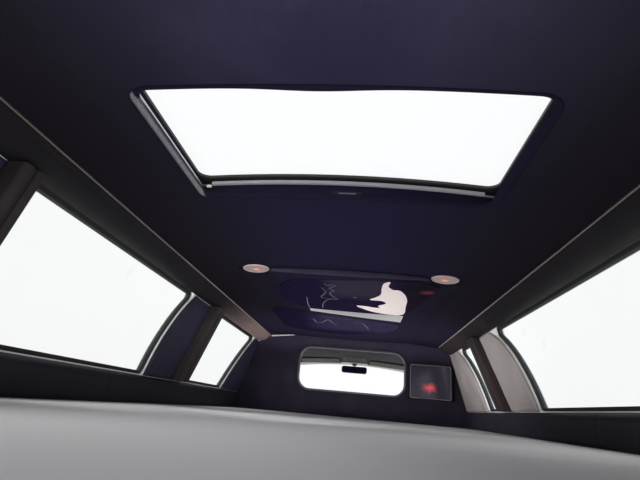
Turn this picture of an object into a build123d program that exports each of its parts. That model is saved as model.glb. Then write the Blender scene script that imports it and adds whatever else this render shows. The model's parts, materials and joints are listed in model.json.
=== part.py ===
from build123d import *
import os
from math import asin, atan2, cos, degrees, hypot, radians, sin, sqrt

# The roof section of a stretch limousine: skin, side windows and pillars down to the window line,
# sunroof, headliner, mirrored ceiling panel, and the divider behind the driver.
# X is to the right of someone who faces forward, Y is forward and Z is up, in millimetres.
# The origin is on the ground under the middle of the roof.

# Clearances
SEAT_GAP = 0.3  # between pieces that rest on each other
MOVING_GAP = 5  # around pieces that move

# Roof line, seen from the side: straight, with a gentle bend down at each end
ROOF_LENGTH = 5400
BEND_LENGTH = 900
END_DROP = 60

# Roof section, seen from the front: a flat arc, then a tight shoulder at each side
CROWN_TOP = 584
CROWN_HALF = 615
CROWN_DROP = 52
SHOULDER_RADIUS = 100
SKIN = 6
SKIN_END_ANGLE = 72  # where the skin ends on its shoulder, in degrees from upright

# Roof rail, inside the shoulder
RAIL_START_ANGLE = 12  # on the shoulder, in degrees from upright
RAIL_END_ANGLE = 78
RAIL_LAP = 6  # below the top of the body side
RAIL_LIP = 12  # from the cover's upper edge, along the cover
RAIL_STEP = 4  # from the body side's inner face

# Body side below the roof rail. It leans in towards its top
SIDE_DROP = 134  # top of the body side below the crown
SIDE_OUT = 50.5  # inner face at the top, out from the edge of the crown
SILL_OUT = 102.5  # inner face at the sill, out from the top
FOOT_OUT = 4  # inner face at the ground, out from the sill
SILL = 100
SIDE_WALL = 36
SIDE_REAR = -1440
SIDE_FRONT = 1450

# Side windows, two on each side
WINDOW_TO_SILL = 3
WINDOW_OVER_TOP = 8  # the window hole reaches into the roof rail
WINDOW_CORNER = 22
SEAL_WIDTH = 12
SEAL_INSET = 8
SEAL_OUTSET = 12  # from the outer face, which leaves room for the drip moulding
GLASS = 5
GLASS_INSET = 18

# Posts and pads on the inside of the pillars, and the cover along the sill. Each Y is of a rear
# edge, at its top and at the sill, and each bow is how far that edge bulges towards the rear
POST_DEPTH = 48
POST_GROOVE = (12, 10)
PAD = 18
REAR_POST_WIDTH = 63
REAR_POST_Y = (-1163, -1163)
REAR_PAD_Y = (-1402, -1422)
REAR_PAD_BOW = 10
MID_POST_WIDTH = 110
POST_TO_WINDOW = 8
SILL_COVER = 24

# The middle post and the wing aren't opposite each other on the two sides of the car
RIGHT_POST_Y = (504, 370)
RIGHT_PAD_Y = (335, 45)
RIGHT_PAD_BOW = 91
RIGHT_WING_Y = (1090, 785)
RIGHT_WING_BOW = 95
LEFT_POST_Y = (175, 110)
LEFT_PAD_Y = (-30, -155)
LEFT_PAD_BOW = 43
LEFT_WING_Y = (1180, 885)
LEFT_WING_BOW = 33

# Headliner
ROOF_SPACE = 57  # from the crown down to the headliner's lower face
LINER_TO_CROWN = 37  # side edge of the headliner, in from the edge of the crown
LINER_DROP = 30.5
LINER = 8
LINER_LAP = 15  # of the lowered panel over the joint in the headliner
LINER_JOINT = 52  # joint in the headliner, behind the sunroof frame

# Covers along the roof rails
COVER_TO_LINER = 2
COVER_TO_SIDE = 5.5
COVER_HEIGHT = 46.5
COVER_BULGE = 14
COVER_BACK = 5

# Roof bows, evenly spaced behind the sunroof frame and in front of it
BOW_WIDTH = 40
BOW_LAP = 10  # past the headliner's side edges
BOW_PITCH = 350

# Lowered ceiling panel between the lamps and the divider
PANEL_REAR = -290
PANEL_TO_LINER = 158
PANEL_STEP = 24
PANEL_EDGE = 2

# Reading lamps
LAMP_TO_PANEL = 70  # lamp's centre, in from the side edge of the lowered panel
LAMP_AHEAD = 5  # lamp's centre, ahead of the rear edge of the lowered panel
LAMP_RADIUS = 50
LAMP_RING = 9
LAMP_DEPTH = 6
LAMP_LENS = 3.5
LENS_DOME = 2
LAMP_CUT = 2

# Mirrors on the lowered panel, the bright moulding between them and the silver inlay
MIRROR_THICKNESS = 4
MOULDING = 6
MOULDING_WIDTH = (58, 166)  # along the car, at its left and right ends
INLAY = 2

# Corners of these, each measured from the centre of the left lamp
MIRROR_REAR_LEFT = (132, 77)
MIRROR_TIP_LEFT = (40, 325)
MOULDING_LEFT = (147, 578)
CRESCENT_LEFT = (-2, 630)

# Measured from the middle between the lamps
CRESCENT_FRONT = (-100, 1315)
CRESCENT_REAR = (-50, 745)

# Measured from the centre of the right lamp
MIRROR_REAR_RIGHT = (-102, 0)
MIRROR_SIDE_RIGHT = (-33, 290)
MIRROR_TIP_RIGHT = (-5, 70)
MOULDING_RIGHT = (-93, 619)
CRESCENT_RIGHT = (-95, 885)
INLAY_RIGHT = ((-200, 23), (-112, 315), (-100, 597))
INLAY_POINTS = ((-192, 585), (-315, 455), (-213, 471), (-262, 317), (-220, 207), (-219, 50))

# Divider behind the driver, its window and the screen beside it
DIVIDER_Y = 1290
DIVIDER = 30
DIVIDER_WINDOW_HEIGHT = 272
DIVIDER_WINDOW_Z = 298
DIVIDER_WINDOW_CORNER = 75
DIVIDER_TRIM = 6
DIVIDER_FLANGE = (5, 4)
HOUSING = (278, 226)
HOUSING_TO_SIDE = 143.5  # housing's centre, in from the top of the body side
HOUSING_TO_WINDOW = 29
HOUSING_DEPTH = 40
HOUSING_CORNER = 10
HOUSING_ROUND = 3
SCREEN_BORDER = 14
SCREEN_RECESS = 5
SCREEN = 3

# Sunroof glass and its rim
SUNROOF_Y = -1100
OPENING = (702, 400)
OPENING_CORNER = 34
GLASS_PANEL = (790, 460)
GLASS_CORNER = 60
GLASS_THICK = 5
GLASS_TO_SKIN = 8
RIM_WIDTH = (36, 51)  # at the sides, and at the front and rear
RIM_CORNER = 28
RIM_DEPTH = 6

# Sunroof frame
FRAME_MARGIN = 30  # frame's side, out from the hole in the skin
FRAME_TO_OPENING = 25
FRAME_WALL = 8
FRAME_FOOT = 5
GUIDE_STEP = 2  # guide's inner edge, out from the foot's
GUIDE = 5
FRONT_WALL = 13

# Tilt hinge at the front of the glass
HINGE_BACK = 12
HINGE_DROP = 10.5  # pin below the rim
HINGE_X = 200
PIN_RADIUS = 4
TILT_DIP = 1.5  # how far the glass dips ahead of its hinge
EAR = 10
EAR_RADIUS = 8
POCKET_HALF = 12

# Sunroof shade
SHADE_THICKNESS = 6
SHADE_LENGTH = 420
PULL = (120, 6, 8)
PULL_AHEAD = 2  # past the rear edge of the opening when the shade is open

# Edge trim of the opening, seals along its front and sides, and the switch
TRIM_WALL = 4
TRIM_LIP = (12, 3)
FRONT_SEAL = 10
FRONT_SEAL_HIGH = 16.5  # below the crown
FRONT_SEAL_LOW = 24
SIDE_SEAL = 14
SWITCH = (73, 14)
SWITCH_X = 8
SWITCH_DROP = 48  # below the crown
SWITCH_DEPTH = 3
ROCKER = (44, 6)
ROCKER_DEPTH = 1.5

# Drip mouldings
DRIP = (10, 11)

# Headers at the two ends, with the sawn stubs of the screen pillars
HEADER_LENGTH = 90
HEADER_DEPTH = 60
HEADER_LAP = 5  # side edge of the header, in from the edge of the crown
STUB = (54, 44)
STUB_OUT = 17  # stub's centre, out from the edge of the crown
STUB_DROP = 122  # stub's centre, below the crown
STUB_LENGTH = 230
STUB_DIRECTION = (0.14, 0.80, -0.58)

# Visors, console and interior mirror at the driver's end
VISOR = (360, 145, 14)
VISOR_TO_CONSOLE = 35
VISOR_TO_END = 140
VISOR_DROP = 18
ROD_RADIUS = 4
ROD_FOOT = 10
CONSOLE = (210, 210, 22)
CONSOLE_TO_END = 300
INTERIOR_MIRROR = (240, 30, 62)
INTERIOR_MIRROR_TO_END = 130
INTERIOR_MIRROR_DROP = 172  # below the crown
STALK_RADIUS = 7
STALK_FOOT = (44, 34, 12)
STALK_TO_END = 60

# Worked out from the sizes above: along the roof
half_length = ROOF_LENGTH / 2
bend_start = half_length - BEND_LENGTH
bend_radius = (BEND_LENGTH**2 + END_DROP**2) / (2 * END_DROP)
bend_centre_z = CROWN_TOP - bend_radius
header_y = half_length - HEADER_LENGTH
divider_front = DIVIDER_Y + DIVIDER
lamp_y = PANEL_REAR + LAMP_AHEAD

# Across the roof, and in height
crown_radius = (CROWN_HALF**2 + CROWN_DROP**2) / (2 * CROWN_DROP)
crown_angle = degrees(asin(CROWN_HALF / crown_radius))
shoulder_x = CROWN_HALF - SHOULDER_RADIUS * sin(radians(crown_angle))
shoulder_z = CROWN_TOP - CROWN_DROP - SHOULDER_RADIUS * cos(radians(crown_angle))
side_top = CROWN_TOP - SIDE_DROP
side_top_x = CROWN_HALF + SIDE_OUT
sill_x = side_top_x + SILL_OUT
foot_x = sill_x + FOOT_OUT
rail_low = side_top - RAIL_LAP
window_low = SILL + WINDOW_TO_SILL
window_head = side_top + WINDOW_OVER_TOP
liner_centre = CROWN_TOP - ROOF_SPACE
liner_half = CROWN_HALF - LINER_TO_CROWN
liner_radius = (liner_half**2 + LINER_DROP**2) / (2 * LINER_DROP)
cover_top = (liner_half + COVER_TO_LINER, side_top + COVER_HEIGHT)
cover_bottom = (side_top_x - COVER_TO_SIDE, side_top)
bow_half = liner_half + BOW_LAP
header_half = CROWN_HALF - HEADER_LAP
panel_half = liner_half - PANEL_TO_LINER
panel_centre = liner_centre - PANEL_STEP
lamp_x = panel_half - LAMP_TO_PANEL
divider_window_low = DIVIDER_WINDOW_Z - DIVIDER_WINDOW_HEIGHT / 2
housing_low = divider_window_low - DIVIDER_TRIM - DIVIDER_FLANGE[0]
housing_centre = (side_top_x - HOUSING_TO_SIDE, housing_low + HOUSING[1] / 2)
divider_window_half = housing_centre[0] - HOUSING[0] / 2 - HOUSING_TO_WINDOW
divider_window = (2 * divider_window_half, DIVIDER_WINDOW_HEIGHT)
visor_x = CONSOLE[0] / 2 + VISOR_TO_CONSOLE + VISOR[0] / 2

# Round the sunroof
opening_rear = SUNROOF_Y - OPENING[1] / 2
opening_front = SUNROOF_Y + OPENING[1] / 2
glass_front = SUNROOF_Y + GLASS_PANEL[1] / 2
hinge_y = glass_front - HINGE_BACK
skin_hole = (GLASS_PANEL[0] + 2 * GLASS_TO_SKIN, GLASS_PANEL[1] + 2 * GLASS_TO_SKIN)
rim_low = GLASS_THICK + SEAT_GAP + RIM_DEPTH  # below the crown
shade_low = LINER + 2 * SEAT_GAP + FRAME_FOOT  # above the headliner's lower face
guide_low = shade_low + SHADE_THICKNESS + MOVING_GAP
shade_front = opening_rear + PULL_AHEAD + PULL[1]
shade_rear = shade_front - SHADE_LENGTH
frame_inner = OPENING[0] / 2 + FRAME_TO_OPENING
frame_outer = skin_hole[0] / 2 + FRAME_MARGIN
frame_inside = frame_outer - FRAME_WALL
guide_inner = frame_inner + GUIDE_STEP
frame_front = glass_front + GLASS_TO_SKIN + FRONT_WALL
frame_rear = shade_rear - MOVING_GAP - FRAME_WALL

# The cover's chord runs from its top edge to its bottom edge; cover_out points away from the cabin
cover_chord = hypot(cover_bottom[0] - cover_top[0], cover_bottom[1] - cover_top[1])
cover_along = (
    (cover_bottom[0] - cover_top[0]) / cover_chord,
    (cover_bottom[1] - cover_top[1]) / cover_chord,
)
cover_out = (-cover_along[1], cover_along[0])
cover_radius = (cover_chord**2 / 4 + COVER_BULGE**2) / (2 * COVER_BULGE)


def finish(part, label):
    """Names a finished piece and writes it."""
    part.label = label
    export_step(part, f"parts/{label}.step")


def finish_side(part, label, side):
    """Writes a piece made on the right, or its mirror image on the left."""
    if side == "left":
        with BuildPart() as other:
            mirror(part, about=Plane.YZ)
        part = other.part
    finish(part, f"{label}_{side}")


def finish_pair(part, label):
    """Writes a right-hand piece, and its mirror image on the left."""
    finish_side(part, label, "right")
    finish_side(part, label, "left")


def crown_z(x, depth):
    """Height of the arc that lies depth below the crown of the roof."""
    return CROWN_TOP - crown_radius + sqrt((crown_radius - depth) ** 2 - x**2)


def liner_z(x, rise):
    """Height of the arc that lies rise above the headliner's lower face."""
    return liner_centre - liner_radius + sqrt((liner_radius + rise) ** 2 - x**2)


panel_edge_z = liner_z(panel_half, -SEAT_GAP) - PANEL_EDGE
panel_sag = panel_edge_z - panel_centre
panel_radius = (panel_half**2 + panel_sag**2) / (2 * panel_sag)


def panel_z(x, drop):
    """Height of the arc that lies drop below the lowered panel's face."""
    return panel_centre + panel_radius - sqrt((panel_radius + drop) ** 2 - x**2)


def shoulder_point(depth, angle):
    """Point of the shoulder that lies depth inside the skin, at an angle from upright."""
    radius = SHOULDER_RADIUS - depth
    return (shoulder_x + radius * sin(radians(angle)), shoulder_z + radius * cos(radians(angle)))


def cover_point(along, out):
    """Point at a distance along the rail cover's chord, and out from it."""
    return (
        cover_top[0] + along * cover_along[0] + out * cover_out[0],
        cover_top[1] + along * cover_along[1] + out * cover_out[1],
    )


pad_top = cover_point(cover_chord / 2, cover_radius - COVER_BULGE)[1] - cover_radius - SEAT_GAP


def side_x(z):
    """Inner face of the body side at height z."""
    if z < SILL:
        return foot_x + (sill_x - foot_x) * z / SILL
    return sill_x + (side_top_x - sill_x) * (z - SILL) / (side_top - SILL)


def arc_band(first_arc, first, second_arc, second, left, right):
    """Section between two arcs, each at its own offset, from x = left to x = right."""
    stations = (left, (left + right) / 2, right)
    with BuildSketch() as band:
        with BuildLine():
            ThreePointArc(*[(x, first_arc(x, first)) for x in stations])
            ThreePointArc(*[(x, second_arc(x, second)) for x in stations])
            for x in (left, right):
                Line((x, first_arc(x, first)), (x, second_arc(x, second)))
        make_face()
    return band.sketch


def side_slab(inner, outer, low, high):
    """Section of a layer of the body side, inner and outer measured out from its inner face."""
    heights = [low, SILL, high] if low < SILL < high else [low, high]
    up = [(side_x(z) + inner, z) for z in heights]
    down = [(side_x(z) + outer, z) for z in reversed(heights)]
    with BuildSketch() as slab:
        with BuildLine():
            Polyline(*up, *down, close=True)
        make_face()
    return slab.sketch


def from_lamp(point, side):
    """Plan point given from the right lamp (side 1), the left lamp (-1) or the middle (0)."""
    return (side * lamp_x + point[0], lamp_y + point[1])


def roof_plane(y):
    """Plane across the roof at distance y along it, which leans where the roof line bends."""
    reach = abs(y) - bend_start
    if reach <= 0:
        return Plane.XZ.offset(-y)
    end = 1 if y > 0 else -1
    lean = asin(reach / bend_radius)
    origin_y = end * (bend_start - bend_centre_z * sin(lean))
    origin_z = bend_centre_z - bend_centre_z * cos(lean)
    return Plane((0, origin_y, origin_z), x_dir=(1, 0, 0), z_dir=(0, -cos(lean), end * sin(lean)))


def straight_run(profile, rear, front):
    """Solid of a section from y = rear to y = front."""
    with BuildPart() as run:
        with BuildSketch(Plane.XZ.offset(-front)):
            add(profile)
        extrude(amount=front - rear)
    return run.part


def along_roof(profile, rear, front):
    """Solid of a section along the roof line, which bends down near both ends."""
    with BuildPart() as member:
        if rear < bend_start and front > -bend_start:
            first = max(rear, -bend_start)
            last = min(front, bend_start)
            with BuildSketch(Plane.XZ.offset(-last)):
                add(profile)
            extrude(amount=last - first)
        for end, near, far in ((1, rear, front), (-1, -front, -rear)):
            if far > bend_start:
                near = max(near, bend_start)
                arc = asin((far - bend_start) / bend_radius) - asin((near - bend_start) / bend_radius)
                with BuildSketch(roof_plane(end * near)):
                    add(profile)
                axis = Axis((0, end * bend_start, bend_centre_z), (-end, 0, 0))
                revolve(axis=axis, revolution_arc=degrees(arc))
    return member.part


def upright_prism(outline, low, high):
    """Solid of a plan outline between two heights."""
    with BuildPart() as prism:
        with BuildSketch(Plane.XY.offset(low)):
            add(outline)
        extrude(amount=high - low)
    return prism.part


def side_prism(outline):
    """Solid of an outline in the YZ plane, through the whole right-hand side of the body."""
    with BuildPart() as prism:
        with BuildSketch(Plane.YZ.offset(side_x(side_top) - 2 * POST_DEPTH)):
            add(outline)
        extrude(amount=foot_x + 2 * SIDE_WALL - side_x(side_top) + 2 * POST_DEPTH)
    return prism.part


def plan_rectangle(size, corner, centre=(0, SUNROOF_Y)):
    """A rectangle with round corners."""
    with BuildSketch() as outline:
        with Locations(centre):
            RectangleRounded(*size, corner)
    return outline.sketch


def beside_opening(clearance):
    """Plan of what lies between the mitres at the opening's corners, on the left and the right."""
    near_x = OPENING[0] / 2 - OPENING_CORNER
    far_x = liner_half + SIDE_WALL
    near_y = OPENING[1] / 2 - OPENING_CORNER - clearance
    far_y = near_y + far_x - near_x
    with BuildSketch() as plan:
        for side in (1, -1):
            corners = ((near_x, near_y), (far_x, far_y), (far_x, -far_y), (near_x, -near_y))
            with BuildLine():
                Polyline(*[(side * x, SUNROOF_Y + y) for x, y in corners], close=True)
            make_face()
    return plan.sketch


def window_outline(rear, front, bow, inset):
    """A side window in the YZ plane. Its rear and front edges slant, and the front edge bows."""
    middle = ((front[0] + front[1]) / 2 - bow, (window_head + window_low) / 2)
    top, low = (front[0], window_head), (front[1], window_low)
    with BuildSketch() as outline:
        with BuildLine():
            Polyline(low, (rear[1], window_low), (rear[0], window_head), top)
            ThreePointArc(top, middle, low)
        make_face()
        fillet(outline.vertices(), WINDOW_CORNER)
        if inset:
            offset(amount=-inset)
    return outline.sketch


def pad_outline(rear, bow, front):
    """A pillar pad in the YZ plane. Its rear edge slants, and bows towards the rear."""
    middle = ((rear[0] + rear[1]) / 2 - bow, (pad_top + SILL) / 2)
    top, low = (rear[0], pad_top), (rear[1], SILL)
    with BuildSketch() as outline:
        with BuildLine():
            ThreePointArc(top, middle, low)
            Polyline(low, (front[1] - SEAT_GAP, SILL), (front[0] - SEAT_GAP, pad_top), top)
        make_face()
    return outline.sketch


def post_band(rear, start, width):
    """A band of a leaning post in the YZ plane, which starts that far ahead of its rear edge."""
    top, low = rear[0] + start, rear[1] + start
    with BuildSketch() as band:
        with BuildLine():
            Polyline(
                (low, SILL), (low + width, SILL), (top + width, pad_top), (top, pad_top), close=True
            )
        make_face()
    return band.sketch


def cut_to_layer(part, layer):
    """What of that part lies in a layer of the body side."""
    with BuildPart() as kept:
        add(part)
        add(straight_run(layer, SIDE_REAR, SIDE_FRONT), mode=Mode.INTERSECT)
    return kept.part


def plate_under_panel(outline, top, thickness):
    """Plate of that plan outline, which follows the lowered panel at a distance below it."""
    with BuildPart() as plate:
        add(upright_prism(outline, panel_centre - 2 * MOULDING, CROWN_TOP))
        layer = arc_band(panel_z, top, panel_z, top + thickness, -panel_half, panel_half)
        add(straight_run(layer, PANEL_REAR, DIVIDER_Y), mode=Mode.INTERSECT)
    return plate.part


def bow_places(rear, front):
    """Middles of the bows that share out the length between two members."""
    count = round((front - rear) / BOW_PITCH)
    pitch = (front - rear) / count
    return [rear + (number + 0.5) * pitch for number in range(count)]


os.makedirs("parts", exist_ok=True)

# Roof skin, with the hole for the sunroof glass
with BuildSketch() as skin_section:
    with BuildLine():
        for depth in (0, SKIN):
            angles = (SKIN_END_ANGLE, (SKIN_END_ANGLE + crown_angle) / 2, crown_angle)
            right = [shoulder_point(depth, angle) for angle in angles]
            left = [(-x, z) for x, z in right]
            ThreePointArc(*right)
            ThreePointArc(right[2], (0, CROWN_TOP - depth), left[2])
            ThreePointArc(*left)
        for side in (1, -1):
            edge = [shoulder_point(depth, SKIN_END_ANGLE) for depth in (0, SKIN)]
            Line(*[(side * x, z) for x, z in edge])
    make_face()

with BuildPart() as roof_skin:
    add(along_roof(skin_section.sketch, -half_length, half_length))
    hole = plan_rectangle(skin_hole, GLASS_CORNER + GLASS_TO_SKIN)
    add(upright_prism(hole, liner_centre, CROWN_TOP + SKIN), mode=Mode.SUBTRACT)
finish(roof_skin.part, "roof_skin")

# Section of the roof rail, in the body side and in the headers
with BuildSketch() as rail_section:
    with BuildLine():
        rail_depth = SKIN + SEAT_GAP
        rail_angles = (RAIL_START_ANGLE, (RAIL_START_ANGLE + RAIL_END_ANGLE) / 2, RAIL_END_ANGLE)
        rail_arc = [shoulder_point(rail_depth, angle) for angle in rail_angles]
        ThreePointArc(*rail_arc)
        Polyline(
            rail_arc[2],
            (rail_arc[2][0], rail_low),
            (side_x(rail_low) + RAIL_STEP, rail_low),
            cover_point(cover_chord, COVER_BACK + SEAT_GAP),
            cover_point(RAIL_LIP, COVER_BACK + SEAT_GAP),
            rail_arc[0],
        )
    make_face()

SIDES = (
    # side, middle post, middle pad and its bow, wing and its bow
    ("right", RIGHT_POST_Y, RIGHT_PAD_Y, RIGHT_PAD_BOW, RIGHT_WING_Y, RIGHT_WING_BOW),
    ("left", LEFT_POST_Y, LEFT_PAD_Y, LEFT_PAD_BOW, LEFT_WING_Y, LEFT_WING_BOW),
)

for label, post_y, pad_y, pad_bow, wing_y, wing_bow in SIDES:
    posts = ((REAR_POST_Y, REAR_POST_WIDTH), (post_y, MID_POST_WIDTH))
    window_rears = [[y + width + POST_TO_WINDOW for y in rear] for rear, width in posts]
    windows = (
        # rear edge, front edge, how far the front edge bows
        (window_rears[0], pad_y, pad_bow),
        (window_rears[1], wing_y, wing_bow),
    )
    pads = (
        # rear edge, how far it bows, front edge
        (REAR_PAD_Y, REAR_PAD_BOW, REAR_POST_Y),
        (pad_y, pad_bow, post_y),
        (wing_y, wing_bow, (DIVIDER_Y, DIVIDER_Y)),
    )

    # Body side: roof rail, pillars and sill in one, with two window holes
    with BuildPart() as side_frame:
        add(straight_run(side_slab(0, SIDE_WALL, 0, side_top), SIDE_REAR, SIDE_FRONT))
        add(along_roof(rail_section.sketch, -header_y + SEAT_GAP, header_y - SEAT_GAP))
        for window in windows:
            add(side_prism(window_outline(*window, 0)), mode=Mode.SUBTRACT)
    finish_side(side_frame.part, "side_frame", label)

    # Rubber seals in the window holes, and the glass inside them
    with BuildPart() as window_seals:
        for window in windows:
            add(side_prism(window_outline(*window, SEAT_GAP)))
            add(side_prism(window_outline(*window, SEAT_GAP + SEAL_WIDTH)), mode=Mode.SUBTRACT)
        layer = side_slab(SEAL_INSET, SIDE_WALL - SEAL_OUTSET, SILL, CROWN_TOP)
        add(straight_run(layer, SIDE_REAR, SIDE_FRONT), mode=Mode.INTERSECT)
    finish_side(window_seals.part, "window_seals", label)

    with BuildPart() as side_glass:
        for window in windows:
            add(side_prism(window_outline(*window, 2 * SEAT_GAP + SEAL_WIDTH)))
        layer = side_slab(GLASS_INSET, GLASS_INSET + GLASS, SILL, CROWN_TOP)
        add(straight_run(layer, SIDE_REAR, SIDE_FRONT), mode=Mode.INTERSECT)
    finish_side(side_glass.part, "side_glass", label)

    # Pads over the pillars: at the rear, beside the middle post, and the wing beside the divider
    with BuildPart() as pillar_pads:
        for pad in pads:
            add(side_prism(pad_outline(*pad)))
        layer = side_slab(-SEAT_GAP - PAD, -SEAT_GAP, SILL, pad_top)
        add(straight_run(layer, SIDE_REAR, SIDE_FRONT), mode=Mode.INTERSECT)
    finish_side(pillar_pads.part, "pillar_pads", label)

    # Posts in front of the rear and middle pads, each with a groove down its face
    with BuildPart() as grooves:
        for rear, width in posts:
            add(side_prism(post_band(rear, (width - POST_GROOVE[0]) / 2, POST_GROOVE[0])))
    groove_layer = side_slab(-POST_DEPTH - PAD, POST_GROOVE[1] - POST_DEPTH - SEAT_GAP, 0, side_top)
    with BuildPart() as pillar_posts:
        for rear, width in posts:
            add(side_prism(post_band(rear, 0, width)))
        layer = side_slab(-SEAT_GAP - POST_DEPTH, -SEAT_GAP, SILL, pad_top)
        add(straight_run(layer, SIDE_REAR, SIDE_FRONT), mode=Mode.INTERSECT)
        add(cut_to_layer(grooves.part, groove_layer), mode=Mode.SUBTRACT)
    finish_side(pillar_posts.part, "pillar_posts", label)

# Padded covers along the sills
sill_layer = side_slab(-SEAT_GAP - SILL_COVER, -SEAT_GAP, 0, SILL - SEAT_GAP)
sill_cover = straight_run(sill_layer, SIDE_REAR, DIVIDER_Y - SEAT_GAP)
finish_pair(sill_cover, "sill_cover")

# Covers along the roof rails: one in the cabin and one beside the driver
with BuildSketch() as cover_section:
    with BuildLine():
        ThreePointArc(cover_top, cover_point(cover_chord / 2, -COVER_BULGE), cover_bottom)
        Polyline(
            cover_bottom,
            cover_point(cover_chord, COVER_BACK),
            cover_point(0, COVER_BACK),
            cover_top,
        )
    make_face()

with BuildPart() as rail_cover:
    add(along_roof(cover_section.sketch, -header_y + SEAT_GAP, DIVIDER_Y - SEAT_GAP))
    add(along_roof(cover_section.sketch, divider_front + SEAT_GAP, header_y - SEAT_GAP))
finish_pair(rail_cover.part, "rail_cover")

# Drip mouldings under the edges of the skin
drip_x = rail_arc[2][0] + SEAT_GAP
drip_z = side_top + SEAT_GAP
with BuildSketch() as drip_section:
    for side in (1, -1):
        with Locations((side * (drip_x + DRIP[0] / 2), drip_z + DRIP[1] / 2)):
            Rectangle(*DRIP)
finish(along_roof(drip_section.sketch, -half_length, half_length), "drip_mouldings")

# Headers across the two ends, each with the ends of the roof rails and two sawn pillar stubs
with BuildSketch() as header_section:
    add(rail_section.sketch)
    mirror(rail_section.sketch, about=Plane.YZ)
    add(arc_band(crown_z, SKIN + SEAT_GAP, crown_z, HEADER_DEPTH, -header_half, header_half))

stub_at = (CROWN_HALF + STUB_OUT, CROWN_TOP - STUB_DROP, 0)
stub_centre = roof_plane(half_length - HEADER_LENGTH / 2).from_local_coords(stub_at)
with BuildPart() as stub:
    with BuildSketch(Plane(stub_centre, x_dir=(1, 0, 0), z_dir=STUB_DIRECTION)):
        Rectangle(*STUB)
    extrude(amount=STUB_LENGTH)

with BuildPart() as front_header:
    add(along_roof(header_section.sketch, header_y, half_length))
    add(stub.part)
    mirror(stub.part, about=Plane.YZ)
finish(front_header.part, "front_header")

with BuildPart() as rear_header:
    mirror(front_header.part, about=Plane.XZ)
finish(rear_header.part, "rear_header")

# Roof bows between the skin and the headliner
bow_section = arc_band(crown_z, SKIN + SEAT_GAP, liner_z, LINER + SEAT_GAP, -bow_half, bow_half)
with BuildPart() as roof_bows:
    for bow_y in bow_places(-header_y, frame_rear) + bow_places(frame_front, header_y):
        add(along_roof(bow_section, bow_y - BOW_WIDTH / 2, bow_y + BOW_WIDTH / 2))
finish(roof_bows.part, "roof_bows")

# Headliner: three boards over the cabin, one of them with the sunroof opening, and one over the driver
liner_section = arc_band(liner_z, 0, liner_z, LINER, -liner_half, liner_half)
liner_joints = (
    -header_y + SEAT_GAP / 2,
    frame_rear - LINER_JOINT,
    PANEL_REAR + LINER_LAP,
    DIVIDER_Y + DIVIDER / 2,
    header_y - SEAT_GAP / 2,
)
liner_boards = [
    along_roof(liner_section, rear + SEAT_GAP / 2, front - SEAT_GAP / 2)
    for rear, front in zip(liner_joints, liner_joints[1:])
]
finish(liner_boards[0], "headliner_rear")
finish(liner_boards[2], "headliner_cabin")
finish(liner_boards[3], "headliner_front")

# The board with the sunroof opening is in four parts, mitred at the corners of the opening
with BuildPart() as sunroof_board:
    add(liner_boards[1])
    wall = TRIM_WALL + SEAT_GAP
    hole = plan_rectangle((OPENING[0] + 2 * wall, OPENING[1] + 2 * wall), OPENING_CORNER + wall)
    add(upright_prism(hole, liner_centre - LINER_DROP, CROWN_TOP), mode=Mode.SUBTRACT)
with BuildPart() as side_boards:
    add(sunroof_board.part)
    add(upright_prism(beside_opening(SEAT_GAP), liner_centre - LINER_DROP, CROWN_TOP), mode=Mode.INTERSECT)
with BuildPart() as end_boards:
    add(sunroof_board.part)
    add(upright_prism(beside_opening(0), liner_centre - LINER_DROP, CROWN_TOP), mode=Mode.SUBTRACT)
left_board, right_board = side_boards.part.solids().sort_by(Axis.X)
rear_board, front_board = end_boards.part.solids().sort_by(Axis.Y)
finish(rear_board, "headliner_sunroof_rear")
finish(front_board, "headliner_sunroof_front")
finish(left_board, "headliner_sunroof_left")
finish(right_board, "headliner_sunroof_right")

# Lowered ceiling panel, cut round the two reading lamps
with BuildPart() as ceiling_panel:
    lens = arc_band(liner_z, -SEAT_GAP, panel_z, 0, -panel_half, panel_half)
    add(straight_run(lens, PANEL_REAR, DIVIDER_Y - SEAT_GAP))
    with BuildSketch(Plane.XY.offset(panel_centre - MOULDING)):
        with Locations((lamp_x, lamp_y), (-lamp_x, lamp_y)):
            Circle(LAMP_RADIUS + LAMP_CUT)
    extrude(amount=CROWN_TOP - panel_centre, mode=Mode.SUBTRACT)
finish(ceiling_panel.part, "ceiling_panel")

# Rear mirror, straight along the step of the panel and along the moulding
rear_left = from_lamp(MIRROR_REAR_LEFT, -1)
rear_right = from_lamp(MIRROR_REAR_RIGHT, 1)
tip_right = from_lamp(MIRROR_TIP_RIGHT, 1)
moulding_left = from_lamp(MOULDING_LEFT, -1)
moulding_right = from_lamp(MOULDING_RIGHT, 1)
with BuildSketch() as rear_mirror_plan:
    with BuildLine():
        Line(rear_right, rear_left)
        ThreePointArc(rear_left, from_lamp(MIRROR_TIP_LEFT, -1), moulding_left)
        Line(moulding_left, moulding_right)
        ThreePointArc(moulding_right, from_lamp(MIRROR_SIDE_RIGHT, 1), tip_right)
        Line(tip_right, rear_right)
    make_face()
finish(plate_under_panel(rear_mirror_plan.sketch, SEAT_GAP, MIRROR_THICKNESS), "ceiling_mirror_rear")

# Front mirror, a crescent
crescent_left = from_lamp(CRESCENT_LEFT, -1)
crescent_right = from_lamp(CRESCENT_RIGHT, 1)
with BuildSketch() as front_mirror_plan:
    with BuildLine():
        ThreePointArc(crescent_left, from_lamp(CRESCENT_FRONT, 0), crescent_right)
        ThreePointArc(crescent_right, from_lamp(CRESCENT_REAR, 0), crescent_left)
    make_face()
finish(plate_under_panel(front_mirror_plan.sketch, SEAT_GAP, MIRROR_THICKNESS), "ceiling_mirror_front")

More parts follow.
